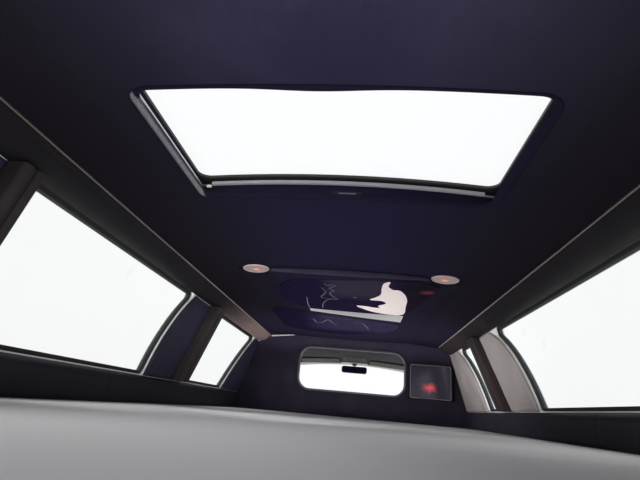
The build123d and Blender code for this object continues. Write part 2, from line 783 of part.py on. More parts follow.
# Bright moulding along the front edge of the rear mirror, which widens to the right
slant = atan2(moulding_right[1] - moulding_left[1], moulding_right[0] - moulding_left[0])
away = SEAT_GAP / cos(slant)
with BuildSketch() as moulding_plan:
    with BuildLine():
        Polyline(
            (moulding_left[0], moulding_left[1] + away),
            (moulding_right[0], moulding_right[1] + away),
            (moulding_right[0], moulding_right[1] + MOULDING_WIDTH[1]),
            (moulding_left[0], moulding_left[1] + MOULDING_WIDTH[0]),
            close=True,
        )
    make_face()
finish(plate_under_panel(moulding_plan.sketch, SEAT_GAP, MOULDING), "ceiling_moulding")

# Silver inlay on the rear mirror
inlay_curve = [from_lamp(point, 1) for point in INLAY_RIGHT]
inlay_corners = [from_lamp(point, 1) for point in INLAY_POINTS]
with BuildSketch() as inlay_plan:
    with BuildLine():
        ThreePointArc(*inlay_curve)
        Polyline(inlay_curve[2], *inlay_corners, inlay_curve[0])
    make_face()
inlay_top = SEAT_GAP + MIRROR_THICKNESS + SEAT_GAP
finish(plate_under_panel(inlay_plan.sketch, inlay_top, INLAY), "ceiling_inlay")

# Reading lamps: a ring and a domed lens each, square to the headliner
lamp_slope = asin(lamp_x / liner_radius)
lamp_plane = Plane(
    (lamp_x, lamp_y, liner_z(lamp_x, -SEAT_GAP)),
    x_dir=(cos(lamp_slope), 0, -sin(lamp_slope)),
    z_dir=(sin(lamp_slope), 0, cos(lamp_slope)),
)
with BuildPart() as lamp_ring:
    with BuildSketch(lamp_plane):
        Circle(LAMP_RADIUS)
        Circle(LAMP_RADIUS - LAMP_RING, mode=Mode.SUBTRACT)
    extrude(amount=-LAMP_DEPTH)
    lower_rim = lamp_ring.edges().filter_by(GeomType.CIRCLE).group_by(Axis.Z)[0]
    fillet(lower_rim.sort_by(SortBy.LENGTH)[-1], LAMP_RING / 2)
finish_pair(lamp_ring.part, "lamp_ring")

lens_radius = LAMP_RADIUS - LAMP_RING - SEAT_GAP
lens_section = Plane(lamp_plane.origin, x_dir=lamp_plane.x_dir, z_dir=(0, -1, 0))
with BuildPart() as lamp_lens:
    with BuildSketch(lens_section):
        with BuildLine():
            Polyline((0, -LAMP_LENS - LENS_DOME), (0, 0), (lens_radius, 0), (lens_radius, -LAMP_LENS))
            TangentArc((0, -LAMP_LENS - LENS_DOME), (lens_radius, -LAMP_LENS), tangent=(1, 0))
        make_face()
    revolve(axis=Axis(lamp_plane.origin, lamp_plane.z_dir))
finish_pair(lamp_lens.part, "lamp_lens")

# Divider behind the driver, which fills the section up to the rail covers and the headliner
divider_heights = (0, SILL, cover_bottom[1])
divider_side = [(side_x(z) - SEAT_GAP, z) for z in divider_heights]
divider_shoulder = (liner_half, liner_z(liner_half, -SEAT_GAP))
with BuildSketch() as divider_section:
    with BuildLine():
        for side in (1, -1):
            corners = [*divider_side, cover_point(cover_chord, 0), divider_shoulder]
            Polyline(*[(side * x, z) for x, z in corners])
        ThreePointArc(
            divider_shoulder,
            (0, liner_z(0, -SEAT_GAP)),
            (-divider_shoulder[0], divider_shoulder[1]),
        )
        Line(divider_side[0], (-divider_side[0][0], divider_side[0][1]))
    make_face()
    trim_wall = DIVIDER_TRIM + SEAT_GAP
    with Locations((0, DIVIDER_WINDOW_Z)):
        RectangleRounded(
            divider_window[0] + 2 * trim_wall,
            divider_window[1] + 2 * trim_wall,
            DIVIDER_WINDOW_CORNER + trim_wall,
            mode=Mode.SUBTRACT,
        )
finish(straight_run(divider_section.sketch, DIVIDER_Y, divider_front), "divider")

with BuildPart() as divider_trim:
    for margin, rear, front in (
        (DIVIDER_TRIM, DIVIDER_Y, divider_front),
        (DIVIDER_TRIM + DIVIDER_FLANGE[0], DIVIDER_Y - SEAT_GAP - DIVIDER_FLANGE[1], DIVIDER_Y - SEAT_GAP),
    ):
        with BuildSketch(Plane.XZ.offset(-front)):
            with Locations((0, DIVIDER_WINDOW_Z)):
                RectangleRounded(
                    divider_window[0] + 2 * margin,
                    divider_window[1] + 2 * margin,
                    DIVIDER_WINDOW_CORNER + margin,
                )
        extrude(amount=front - rear)
    with BuildSketch(Plane.XZ.offset(-DIVIDER_Y + SEAT_GAP)):
        with Locations((0, DIVIDER_WINDOW_Z)):
            RectangleRounded(
                divider_window[0] + 2 * DIVIDER_TRIM,
                divider_window[1] + 2 * DIVIDER_TRIM,
                DIVIDER_WINDOW_CORNER + DIVIDER_TRIM,
            )
    extrude(amount=-SEAT_GAP)
    with BuildSketch(Plane.XZ.offset(-divider_front)):
        with Locations((0, DIVIDER_WINDOW_Z)):
            RectangleRounded(*divider_window, DIVIDER_WINDOW_CORNER)
    extrude(amount=2 * DIVIDER, mode=Mode.SUBTRACT)
finish(divider_trim.part, "divider_window_trim")

# Screen beside the divider window
housing_back = DIVIDER_Y - SEAT_GAP
housing_front = housing_back - HOUSING_DEPTH
with BuildPart() as screen_housing:
    with BuildSketch(Plane.XZ.offset(-housing_back)):
        with Locations(housing_centre):
            RectangleRounded(*HOUSING, HOUSING_CORNER)
    extrude(amount=HOUSING_DEPTH)
    fillet(screen_housing.faces().sort_by(Axis.Y)[0].edges(), HOUSING_ROUND)
    with BuildSketch(Plane.XZ.offset(-housing_front)):
        with Locations(housing_centre):
            Rectangle(HOUSING[0] - 2 * SCREEN_BORDER, HOUSING[1] - 2 * SCREEN_BORDER)
    extrude(amount=-SCREEN_RECESS, mode=Mode.SUBTRACT)
finish(screen_housing.part, "screen_housing")

with BuildPart() as screen:
    with BuildSketch(Plane.XZ.offset(-housing_front - SCREEN_RECESS + SEAT_GAP)):
        with Locations(housing_centre):
            border = SCREEN_BORDER + SEAT_GAP
            Rectangle(HOUSING[0] - 2 * border, HOUSING[1] - 2 * border)
    extrude(amount=SCREEN)
finish(screen.part, "screen")

# Sunroof glass, flush with the skin, and the rim under its edge with two hinge ears
with BuildPart() as sunroof_glass:
    add(upright_prism(plan_rectangle(GLASS_PANEL, GLASS_CORNER), liner_centre, CROWN_TOP + SKIN))
    layer = arc_band(crown_z, 0, crown_z, GLASS_THICK, -GLASS_PANEL[0], GLASS_PANEL[0])
    add(straight_run(layer, frame_rear, frame_front), mode=Mode.INTERSECT)
finish(sunroof_glass.part, "sunroof_glass")

pin_z = crown_z(HINGE_X, rim_low) - HINGE_DROP
pin_plane = Plane.YZ.shift_origin((0, hinge_y, pin_z))
with BuildPart() as sunroof_rim:
    with BuildSketch(Plane.XY.offset(liner_centre)):
        add(plan_rectangle(GLASS_PANEL, GLASS_CORNER))
        inner = (GLASS_PANEL[0] - 2 * RIM_WIDTH[0], GLASS_PANEL[1] - 2 * RIM_WIDTH[1])
        add(plan_rectangle(inner, RIM_CORNER), mode=Mode.SUBTRACT)
    extrude(amount=CROWN_TOP - liner_centre)
    layer = arc_band(crown_z, rim_low - RIM_DEPTH, crown_z, rim_low, -GLASS_PANEL[0], GLASS_PANEL[0])
    add(straight_run(layer, frame_rear, frame_front), mode=Mode.INTERSECT)
    for hinge_x in (-HINGE_X, HINGE_X):
        with BuildSketch(pin_plane.offset(hinge_x - EAR / 2)):
            Circle(EAR_RADIUS)
            with Locations((0, HINGE_DROP / 2)):
                Rectangle(2 * EAR_RADIUS, HINGE_DROP + RIM_DEPTH / 2)
        extrude(amount=EAR)
        with BuildSketch(pin_plane.offset(hinge_x - EAR)):
            Circle(PIN_RADIUS + SEAT_GAP)
        extrude(amount=2 * EAR, mode=Mode.SUBTRACT)
finish(sunroof_rim.part, "sunroof_rim")

# Sunroof frame: a tray between the skin and the headliner, with guides for the shade at its sides
foot_top = LINER + SEAT_GAP + FRAME_FOOT
block_front = glass_front + GLASS_TO_SKIN
with BuildPart() as sunroof_frame:
    foot = arc_band(liner_z, LINER + SEAT_GAP, liner_z, foot_top, frame_inner, frame_outer)
    guide = arc_band(liner_z, guide_low, liner_z, guide_low + GUIDE, guide_inner, frame_outer)
    wall = arc_band(crown_z, SKIN + SEAT_GAP, liner_z, LINER + SEAT_GAP, frame_inside, frame_outer)
    for profile in (foot, guide, wall):
        add(along_roof(profile, frame_rear, frame_front))
    mirror(about=Plane.YZ)
    end_wall = arc_band(
        crown_z, SKIN + SEAT_GAP, liner_z, LINER + SEAT_GAP, -frame_outer, frame_outer
    )
    add(along_roof(end_wall, frame_rear, frame_rear + FRAME_WALL))
    add(along_roof(end_wall, block_front, frame_front))
    block = arc_band(
        crown_z, rim_low + MOVING_GAP + TILT_DIP, liner_z, LINER + SEAT_GAP, -frame_outer, frame_outer
    )
    add(straight_run(block, opening_front, block_front))
    for hinge_x in (-HINGE_X, HINGE_X):
        with BuildSketch(pin_plane.offset(hinge_x - EAR / 2 - MOVING_GAP)):
            Rectangle(2 * POCKET_HALF, 2 * POCKET_HALF)
        extrude(amount=EAR + 2 * MOVING_GAP, mode=Mode.SUBTRACT)
        with BuildSketch(pin_plane.offset(hinge_x - EAR - MOVING_GAP)):
            Circle(PIN_RADIUS)
        extrude(amount=2 * EAR + 2 * MOVING_GAP)
finish(sunroof_frame.part, "sunroof_frame")

# Shade, which runs on the feet of the frame, with a pull under its front edge
shade_half = frame_inside - MOVING_GAP
with BuildPart() as sunroof_shade:
    layer = arc_band(liner_z, shade_low, liner_z, shade_low + SHADE_THICKNESS, -shade_half, shade_half)
    add(straight_run(layer, shade_rear, shade_front))
    shade_middle = shade_low + SHADE_THICKNESS / 2
    layer = arc_band(liner_z, shade_low - PULL[2], liner_z, shade_middle, -PULL[0] / 2, PULL[0] / 2)
    add(straight_run(layer, shade_front - PULL[1], shade_front))
finish(sunroof_shade.part, "sunroof_shade")

# Trim round the opening in the headliner
opening_hole = plan_rectangle(OPENING, OPENING_CORNER)
trim_layers = (
    # width in plan, from, to above the headliner's lower face
    (TRIM_WALL, -SEAT_GAP - TRIM_LIP[1], LINER),
    (TRIM_LIP[0], -SEAT_GAP - TRIM_LIP[1], -SEAT_GAP),
)
trim_rings = []
for width, low, high in trim_layers:
    with BuildPart() as ring:
        outer = (OPENING[0] + 2 * width, OPENING[1] + 2 * width)
        add(upright_prism(plan_rectangle(outer, OPENING_CORNER + width), panel_centre, CROWN_TOP))
        layer = arc_band(liner_z, low, liner_z, high, -frame_outer, frame_outer)
        add(straight_run(layer, frame_rear, frame_front), mode=Mode.INTERSECT)
    trim_rings.append(ring.part)
with BuildPart() as opening_trim:
    for ring in trim_rings:
        add(ring)
    add(upright_prism(opening_hole, panel_centre - PANEL_EDGE, CROWN_TOP), mode=Mode.SUBTRACT)
finish(opening_trim.part, "sunroof_opening_trim")

# Light seal along the top of the opening's front wall, and the switch below it
seal_half = OPENING[0] / 2 - OPENING_CORNER / 2
seal_section = arc_band(crown_z, FRONT_SEAL_HIGH, crown_z, FRONT_SEAL_LOW, -seal_half, seal_half)
seal_back = opening_front - SEAT_GAP
finish(straight_run(seal_section, seal_back - FRONT_SEAL, seal_back), "sunroof_front_seal")

# Light seals along the sides of the opening, against the inner edges of the guides
side_seal_x = (guide_inner - SEAT_GAP - SIDE_SEAL, guide_inner - SEAT_GAP)
side_seal_section = arc_band(crown_z, rim_low + MOVING_GAP, liner_z, guide_low, *side_seal_x)
with BuildPart() as side_seals:
    add(straight_run(side_seal_section, opening_rear, seal_back))
    mirror(about=Plane.YZ)
finish(side_seals.part, "sunroof_side_seals")

switch_at = (SWITCH_X, CROWN_TOP - SWITCH_DROP)
with BuildPart() as sunroof_switch:
    with BuildSketch(Plane.XZ.offset(-seal_back)):
        with Locations(switch_at):
            Rectangle(*SWITCH)
    extrude(amount=SWITCH_DEPTH)
    with BuildSketch(Plane.XZ.offset(-seal_back + SWITCH_DEPTH)):
        with Locations(switch_at):
            Rectangle(*ROCKER)
    extrude(amount=ROCKER_DEPTH)
finish(sunroof_switch.part, "sunroof_switch")

# Sun visors, stowed under the front headliner. Each turns on a rod between two feet
visor_y = half_length - VISOR_TO_END
visor_slope = asin(visor_x / liner_radius)
visor_across = roof_plane(visor_y)
visor_origin = visor_across.from_local_coords((visor_x, liner_z(visor_x, -VISOR_DROP), 0))
rod_direction = visor_across.x_dir * cos(visor_slope) - visor_across.y_dir * sin(visor_slope)
rod_plane = Plane(visor_origin, x_dir=visor_across.z_dir, z_dir=-rod_direction)
rod_half = VISOR[0] / 2 + MOVING_GAP
with BuildPart() as visor:
    with BuildSketch(rod_plane.offset(-VISOR[0] / 2)):
        Circle(VISOR[2] / 2)
        with Locations((VISOR[1] / 2, 0)):
            Rectangle(VISOR[1], VISOR[2])
        Circle(ROD_RADIUS + SEAT_GAP, mode=Mode.SUBTRACT)
    extrude(amount=VISOR[0])
finish_pair(visor.part, "visor")

with BuildPart() as visor_brackets:
    with BuildSketch(rod_plane.offset(-rod_half)):
        Circle(ROD_RADIUS)
    extrude(amount=2 * rod_half)
    for foot_start in (-rod_half - ROD_FOOT, rod_half):
        with BuildSketch(rod_plane.offset(foot_start)):
            Circle(VISOR[2] / 2)
            with Locations((0, VISOR_DROP)):
                Rectangle(VISOR[2], 2 * VISOR_DROP)
        extrude(amount=ROD_FOOT)
    above = arc_band(liner_z, -SEAT_GAP, crown_z, 0, -liner_half, liner_half)
    add(along_roof(above, visor_y - VISOR[1], header_y), mode=Mode.SUBTRACT)
    mirror(about=Plane.YZ)
finish(visor_brackets.part, "visor_brackets")

# Overhead console against the front headliner
with BuildSketch() as console_section:
    with BuildLine():
        console_half = CONSOLE[0] / 2
        ThreePointArc(*[(x, liner_z(x, -SEAT_GAP)) for x in (-console_half, 0, console_half)])
        low = liner_centre - CONSOLE[2]
        Polyline(
            (console_half, liner_z(console_half, -SEAT_GAP)),
            (console_half, low),
            (-console_half, low),
            (-console_half, liner_z(console_half, -SEAT_GAP)),
        )
    make_face()
console_rear = half_length - CONSOLE_TO_END - CONSOLE[1] / 2
finish(along_roof(console_section.sketch, console_rear, console_rear + CONSOLE[1]), "overhead_console")

# Interior mirror on a stalk from the front header
mirror_y = half_length - INTERIOR_MIRROR_TO_END
mirror_z = CROWN_TOP - INTERIOR_MIRROR_DROP
stalk_y = half_length - STALK_TO_END
foot_low = HEADER_DEPTH + STALK_FOOT[2]
foot_half = STALK_FOOT[0] / 2
foot_section = arc_band(crown_z, HEADER_DEPTH + SEAT_GAP, crown_z, foot_low, -foot_half, foot_half)
foot_middle = (0, CROWN_TOP - HEADER_DEPTH - STALK_FOOT[2] / 2, 0)
stalk_top = roof_plane(stalk_y + STALK_FOOT[1] / 2).from_local_coords(foot_middle)
stalk_low = Vector(0, mirror_y + INTERIOR_MIRROR[1] / 2, mirror_z)
with BuildPart() as rear_view_mirror:
    with BuildSketch(Plane.XZ.offset(-mirror_y - INTERIOR_MIRROR[1])):
        with Locations((0, mirror_z)):
            RectangleRounded(INTERIOR_MIRROR[0], INTERIOR_MIRROR[2], INTERIOR_MIRROR[2] / 3)
    extrude(amount=INTERIOR_MIRROR[1])
    add(along_roof(foot_section, stalk_y, stalk_y + STALK_FOOT[1]))
    with BuildSketch(Plane(stalk_low, z_dir=stalk_top - stalk_low)):
        Circle(STALK_RADIUS)
    extrude(amount=(stalk_top - stalk_low).length)
finish(rear_view_mirror.part, "rear_view_mirror")
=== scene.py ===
import json
from math import radians

import bmesh
import bpy
import numpy as np
from mathutils import Matrix, Vector


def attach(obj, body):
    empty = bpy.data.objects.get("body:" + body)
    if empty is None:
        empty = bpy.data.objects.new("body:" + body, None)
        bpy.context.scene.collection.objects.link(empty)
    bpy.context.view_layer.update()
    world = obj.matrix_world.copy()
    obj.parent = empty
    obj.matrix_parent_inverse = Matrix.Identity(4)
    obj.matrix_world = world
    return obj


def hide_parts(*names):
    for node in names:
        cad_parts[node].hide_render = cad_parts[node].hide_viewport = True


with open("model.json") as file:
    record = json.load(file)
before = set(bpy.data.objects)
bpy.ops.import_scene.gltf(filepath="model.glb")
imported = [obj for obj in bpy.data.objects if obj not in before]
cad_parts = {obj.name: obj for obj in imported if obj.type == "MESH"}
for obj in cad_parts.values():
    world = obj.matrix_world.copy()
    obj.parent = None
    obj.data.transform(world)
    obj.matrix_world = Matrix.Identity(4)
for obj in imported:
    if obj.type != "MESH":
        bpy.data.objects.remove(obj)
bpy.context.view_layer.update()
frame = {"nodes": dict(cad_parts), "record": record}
nodes = frame["nodes"]


# Shader maths

class Wire:
    """One output of a node. Arithmetic with it adds Math nodes."""

    def __init__(self, finish, socket):
        self.finish = finish
        self.socket = socket

    def _with(self, kind, *values):
        return self.finish.add("ShaderNodeMath", {"operation": kind}, *values)

    def __add__(self, other):
        return self._with("ADD", self, other)

    def __sub__(self, other):
        return self._with("SUBTRACT", self, other)

    def __mul__(self, other):
        return self._with("MULTIPLY", self, other)

    def __pow__(self, other):
        return self._with("POWER", self, other)

    def __rsub__(self, other):
        return self._with("SUBTRACT", other, self)

    def absolute(self):
        return self._with("ABSOLUTE", self)

    def above(self, limit):
        return self._with("GREATER_THAN", self, limit)

    def smooth(self, low, high):
        """0 below low, 1 above high, and a smooth step between."""
        settings = {"interpolation_type": "SMOOTHSTEP"}
        return self.finish.add("ShaderNodeMapRange", settings, self, low, high, 0.0, 1.0)


def feed(tree, socket, value):
    """Links a wire to a socket, or puts a value on it. A colour of three numbers becomes opaque."""
    if isinstance(value, Wire):
        tree.links.new(value.socket, socket)
    elif isinstance(value, tuple) and socket.type == "RGBA":
        socket.default_value = (*value, 1.0)
    else:
        socket.default_value = value


class Finish:
    """A material being made: a tree with one Principled shader and the object's coordinates."""

    def __init__(self, name, **sockets):
        self.material = bpy.data.materials.new(name)
        self.material.use_nodes = True
        self.tree = self.material.node_tree
        self.shader = self.tree.nodes["Principled BSDF"]
        for label, value in sockets.items():
            self.set(label, value)
        place = self.tree.nodes.new("ShaderNodeTexCoord")
        self.place = Wire(self, place.outputs["Object"])

    def set(self, label, value):
        """Puts a value or a wire on one of the shader's sockets, named with underscores."""
        feed(self.tree, self.shader.inputs[label.replace("_", " ")], value)

    def add(self, kind, settings, *values, output=None, **named):
        """Adds a node with its settings, then its sockets in order or by name."""
        node = self.tree.nodes.new(kind)
        for key, value in settings.items():
            setattr(node, key, value)
        live = [s for s in node.inputs if s.enabled]
        for socket, value in zip(live, values):
            feed(self.tree, socket, value)
        for label, value in named.items():
            feed(self.tree, node.inputs[label.replace("_", " ")], value)
        if output:
            return Wire(self, node.outputs[output])
        return Wire(self, next(s for s in node.outputs if s.enabled))

    def noise(self, scale, detail=2.0, at=None):
        """Cloudy noise, from 0 to 1, with about that many blobs to the metre."""
        place = at or self.place
        return self.add("ShaderNodeTexNoise", {}, Vector=place, Scale=scale, Detail=detail, output="Fac")

    def cells(self, scale):
        """Distance to the edge of its cell, with about that many cells to the metre."""
        settings = {"feature": "DISTANCE_TO_EDGE"}
        return self.add("ShaderNodeTexVoronoi", settings, Vector=self.place, Scale=scale, output="Distance")

    def stretched(self, x, y, z):
        """The object's coordinates, each multiplied by its own number."""
        return self.add("ShaderNodeMapping", {}, Vector=self.place, Scale=(x, y, z))

    def mix(self, mask, first, second):
        """A colour between two others."""
        node = self.tree.nodes.new("ShaderNodeMix")
        node.data_type = "RGBA"
        sockets = {s.identifier: s for s in node.inputs}
        for key, value in (("Factor_Float", mask), ("A_Color", first), ("B_Color", second)):
            feed(self.tree, sockets[key], value)
        return Wire(self, {s.identifier: s for s in node.outputs}["Result_Color"])

    def axes(self):
        """The object's X, Y and Z as three wires."""
        node = self.tree.nodes.new("ShaderNodeSeparateXYZ")
        self.tree.links.new(self.place.socket, node.inputs[0])
        return [Wire(self, s) for s in node.outputs]

    def bump(self, height, depth, strength=1.0):
        """Roughens the surface by that height pattern, depth metres from low to high."""
        normal = self.add("ShaderNodeBump", {}, Height=height, Distance=depth, Strength=strength)
        self.set("Normal", normal)

    def coat(self, pattern, share, colour, other, rough=None, depth=None):
        """Goes over from a colour to another by a share of a pattern. The pattern times the first
        number of rough, plus its second, is the roughness, and it stands depth metres high."""
        self.set("Base_Color", self.mix(pattern * share, colour, other))
        if rough:
            self.set("Roughness", pattern * rough[0] + rough[1])
        if depth:
            self.bump(pattern, depth)
        return self.material


def dimmed(colour, share):
    """A colour times a number."""
    return tuple(share * c for c in colour)


def napped(name):
    """A cloth finish, with its patches where the nap lies the other way, its strokes and its fibres."""
    f = Finish(name, Roughness=0.95, Specular_IOR_Level=0.02)
    patches = f.noise(5.0, 3.0).smooth(0.35, 0.7)
    strokes = f.noise(70.0, 3.0, f.stretched(1.0, 0.35, 1.0)).smooth(0.3, 0.75)
    return f, patches, strokes, f.noise(900.0, 3.0)


def suede(name, dark, violet):
    """Napped cloth: near black, with soft cloudy patches."""
    f, patches, strokes, fibres = napped(name)
    colour = f.mix(patches * 0.7 + strokes * 0.3, dark, violet)
    return f.coat(fibres, 0.3, colour, dimmed(violet, 1.6), depth=0.0006)


def headliner_suede():
    """Napped cloth, near black. It is violet along the middle and paler violet towards the divider. Behind the
    sunroof it goes over in soft patches to a paler violet, which is painted light."""
    f, patches, strokes, fibres = napped("headliner_suede")
    x, y, _ = f.axes()
    middle = 1 - x.absolute().smooth(0.1, 0.5)
    behind = 1 - y.smooth(-1.75, -0.95)
    plain = f.mix(middle, (0.0072, 0.0060, 0.0082), (0.0082, 0.0068, 0.0225))
    plain = f.mix(y.smooth(0.1, 1.1), plain, (0.0190, 0.0140, 0.0310))
    # painted light: behind the sunroof, near the open rear end, the cloth is paler in soft patches
    painted_light_patch = f.mix(middle, (0.0105, 0.0100, 0.0130), (0.0390, 0.0345, 0.0640))
    colour = f.mix(behind * (patches * 0.35 + 0.65), plain, painted_light_patch)
    nap = f.mix(strokes * 0.2, colour, (0.0150, 0.0130, 0.0220))
    return f.coat(fibres, 0.2, nap, (0.0200, 0.0175, 0.0280), depth=0.0006)


def round_spot(f, x, place, size):
    """1 at a place in plan, falling in a smooth step to 0 at that size from it."""
    distance = ((x - place[0]) ** 2.0 + (f.axes()[1] - place[1]) ** 2.0) ** 0.5
    return 1 - distance.smooth(0.0, size)


def leather(name, colour, light, grain=420.0, painted_lighting=None, where=None):
    """Grained leather with worn lighter patches and fine creases between the cells. Where the mask of the
    object's X, Y and Z says, it goes over to a second colour that is painted light and shade."""
    f = Finish(name, Specular_IOR_Level=0.1)
    wear = f.noise(9.0, 4.0).smooth(0.4, 0.75)
    cells = f.cells(grain)
    creases = cells.smooth(0.02, 0.2)
    body = f.mix(wear, colour, light)
    if painted_lighting:
        # painted light and shade: the second colour, where the mask says
        body = f.mix(where(*f.axes()), body, f.mix(wear, painted_lighting, dimmed(painted_lighting, 1.25)))
    f.set("Base_Color", f.mix(creases * 0.35 + 0.65, dimmed(colour, 0.5), body))
    f.set("Roughness", wear * 0.12 + 0.50 - creases * 0.05)
    f.bump(creases + f.noise(60.0) * 0.6, 0.0007, 0.7)
    return f.material


def plastic(name, colour, roughness):
    """Moulded plastic with a fine stipple."""
    f = Finish(name)
    return f.coat(f.noise(900.0), 0.3, colour, dimmed(colour, 0.7), (0.1, roughness - 0.05), 0.00015)


def paint(name, colour):
    """Body paint under clear lacquer, with a faint orange peel and a little dust."""
    f = Finish(name, Coat_Weight=0.8, Coat_Roughness=0.04)
    dust = f.noise(3.0, 5.0).smooth(0.45, 0.8)
    f.bump(f.noise(180.0, 1.0), 0.00008)
    return f.coat(dust, 0.35, colour, dimmed(colour, 0.9), (0.2, 0.3))


def metal(name, colour, roughness=0.12, edge=(1.0, 1.0, 1.0)):
    """Polished metal with faint rubbing marks. edge is its tint where it is seen at a low angle."""
    f = Finish(name, Metallic=1.0, Specular_Tint=edge)
    return f.coat(f.noise(140.0, 4.0), 0.3, colour, dimmed(colour, 0.8), (0.12, roughness))


def glass(name, tint, share):
    """Clear or tinted pane that covers that share of what is behind it, with a few dry water marks."""
    f = Finish(name, Roughness=0.06, Specular_IOR_Level=0.5)
    marks = f.noise(14.0, 4.0).smooth(0.62, 0.8)
    f.set("Alpha", marks * 0.04 + share)
    return f.coat(marks, 0.3, tint, (0.9, 0.9, 0.9))


def lamp_glass():
    """A lamp's lens: frosted, with pressed ribs, and a small warm light behind its middle."""
    f = Finish("lamp_lens", Roughness=0.3, Emission_Strength=1.0)
    ribs = f.cells(260.0).smooth(0.0, 0.3)
    heart = round_spot(f, f.axes()[0].absolute(), (0.350, -0.283), 0.026)
    frosted = f.mix(ribs, (0.26, 0.21, 0.20), (0.34, 0.275, 0.265))
    f.set("Base_Color", f.mix(heart * 0.6, frosted, (0.45, 0.10, 0.05)))
    f.set("Emission_Color", f.mix(heart ** 2.0, (0.0, 0.0, 0.0), (0.75, 0.22, 0.09)))
    f.bump(ribs, 0.0003)
    return f.material


def screen_picture():
    """A dark screen with a plain red glow low in its middle."""
    f = Finish("screen_glass", Roughness=0.12, Emission_Strength=1.0)
    x, _, z = f.axes()
    wave = f.noise(45.0, 2.0) * 0.04
    distance = (((x - 0.517) * 0.62) ** 2.0 + (z - 0.226) ** 2.0) ** 0.5 + wave
    glow = 1 - distance.smooth(0.022, 0.058)
    f.set("Base_Color", (0.012, 0.010, 0.014))
    f.set("Emission_Color", f.mix(glow, (0.012, 0.010, 0.018), (0.62, 0.05, 0.07)))
    return f.material


def seal_felt():
    """Felt seal: pale grey on the left, and darker and bluer on the right, where it is in shade."""
    f = Finish("seal_grey", Roughness=0.8)
    nap = f.noise(800.0, 3.0)
    colour = f.mix(f.axes()[0].above(0.0), (0.74, 0.75, 0.88), (0.52, 0.55, 0.92))
    return f.coat(nap, 0.3, colour, (0.35, 0.35, 0.42), depth=0.0003)


def silvered(name, colour):
    """Brushed silver foil with fine streaks."""
    f = Finish(name, Metallic=0.35)
    streaks = f.noise(160.0, 4.0, f.stretched(1.0, 0.2, 1.0))
    return f.coat(streaks, 0.25, colour, dimmed(colour, 0.85), (0.15, 0.25))


def smoked(name):
    """Smoked mirror: dark violet glass, half of it silvered, with a few dry smears. Painted reflections: its
    middle is greyer, its right end is browner, the front mirror is paler, and a round spot on the right is
    reddish."""
    f = Finish(name, Metallic=0.5, Specular_Tint=(0.14, 0.12, 0.17), Specular_IOR_Level=0.0)
    x, y, _ = f.axes()
    smears = f.noise(9.0, 3.0, f.stretched(1.0, 3.0, 1.0)).smooth(0.45, 0.8)
    # painted reflection: the greyer middle
    painted_reflection_middle = x.smooth(-0.13, -0.04) * (1 - x.smooth(0.10, 0.20)) * (1 - y.smooth(-0.08, 0.10))
    # painted reflection: the browner right end
    colour = f.mix(x.smooth(0.17, 0.26), (0.018, 0.012, 0.040), (0.018, 0.012, 0.022))
    colour = f.mix(painted_reflection_middle * 0.8, colour, (0.056, 0.045, 0.072))
    # painted reflection: the paler front mirror
    pale = y.smooth(0.36, 0.48) * x.smooth(-0.30, -0.10) * (1 - y.smooth(0.75, 0.98))
    colour = f.mix(pale * 0.8, colour, (0.056, 0.044, 0.088))
    # painted reflection: a reddish round spot on the right
    colour = f.mix(round_spot(f, x, (0.311, -0.133), 0.042), colour, (0.220, 0.045, 0.060))
    return f.coat(smears, 0.25, colour, (0.050, 0.040, 0.068), (0.05, 0.04))


def on_right(x, y, z):
    """1 on the right-hand side and 0 on the left."""
    return x.above(0.0)


MATERIALS = {
    "body_paint": paint("white_paint", (0.80, 0.80, 0.78)),
    "primer": plastic("grey_primer", (0.20, 0.21, 0.21), 0.7),
    "bright_metal": metal("bright_metal", (0.80, 0.80, 0.82)),
    "seal_rubber": plastic("seal_rubber", (0.012, 0.012, 0.012), 0.7),
    "clear_glass": glass("clear_glass", (0.62, 0.85, 0.90), 0.05),
    "roof_glass": glass("roof_glass", (0.75, 0.95, 1.00), 0.05),
    "rim_plastic": plastic("rim_plastic", (0.015, 0.015, 0.015), 0.5),
    "suede": headliner_suede(),
    "seal_grey": seal_felt(),
    "smoked_mirror": smoked("smoked_mirror"),
    "silver_inlay": silvered("silver_inlay", (0.97, 0.85, 0.83)),
    "lamp_ring": plastic("lamp_ring", (0.36, 0.30, 0.285), 0.35),
    "lamp_lens": lamp_glass(),
    # painted light: the rail covers go pale towards the divider, nearly only on the left
    "cover_leather": leather(
        "cover_leather", (0.0110, 0.0095, 0.0115), (0.0170, 0.0145, 0.0165), painted_lighting=(0.330, 0.235, 0.220),
        where=lambda x, y, z: y.smooth(0.1, 1.25) * (1 - x.above(0.0) * 0.93),
    ),
    "pad_vinyl": leather("pad_vinyl", (0.022, 0.020, 0.028), (0.034, 0.031, 0.044), 600.0),
    "window_trim": metal("window_trim", (0.28, 0.27, 0.30), 0.3),
    "screen_glass": screen_picture(),
    "visor_cloth": plastic("visor_cloth", (0.20, 0.19, 0.18), 0.9),
    "console_plastic": plastic("console_plastic", (0.10, 0.095, 0.09), 0.55),
}

# painted light: the divider's padding is paler at its top, where light falls on its upper edge
DIVIDER = leather(
    "divider_vinyl", (0.0145, 0.0120, 0.0205), (0.0210, 0.0175, 0.0290), 600.0,
    painted_lighting=(0.036, 0.030, 0.052), where=lambda x, y, z: z.smooth(0.36, 0.49),
)
# painted light: the right-hand pads are pale where light through the left windows falls on them; the left ones
# stay dark
PADS = leather(
    "pillar_vinyl", (0.028, 0.025, 0.046), (0.040, 0.036, 0.062), 600.0,
    painted_lighting=(0.310, 0.280, 0.270), where=on_right,
)
# painted light: the right-hand welts are pale, lit like the right-hand pads
WELT = leather(
    "pad_welt", (0.030, 0.028, 0.036), (0.045, 0.042, 0.050), 900.0,
    painted_lighting=(0.42, 0.40, 0.38), where=on_right,
)
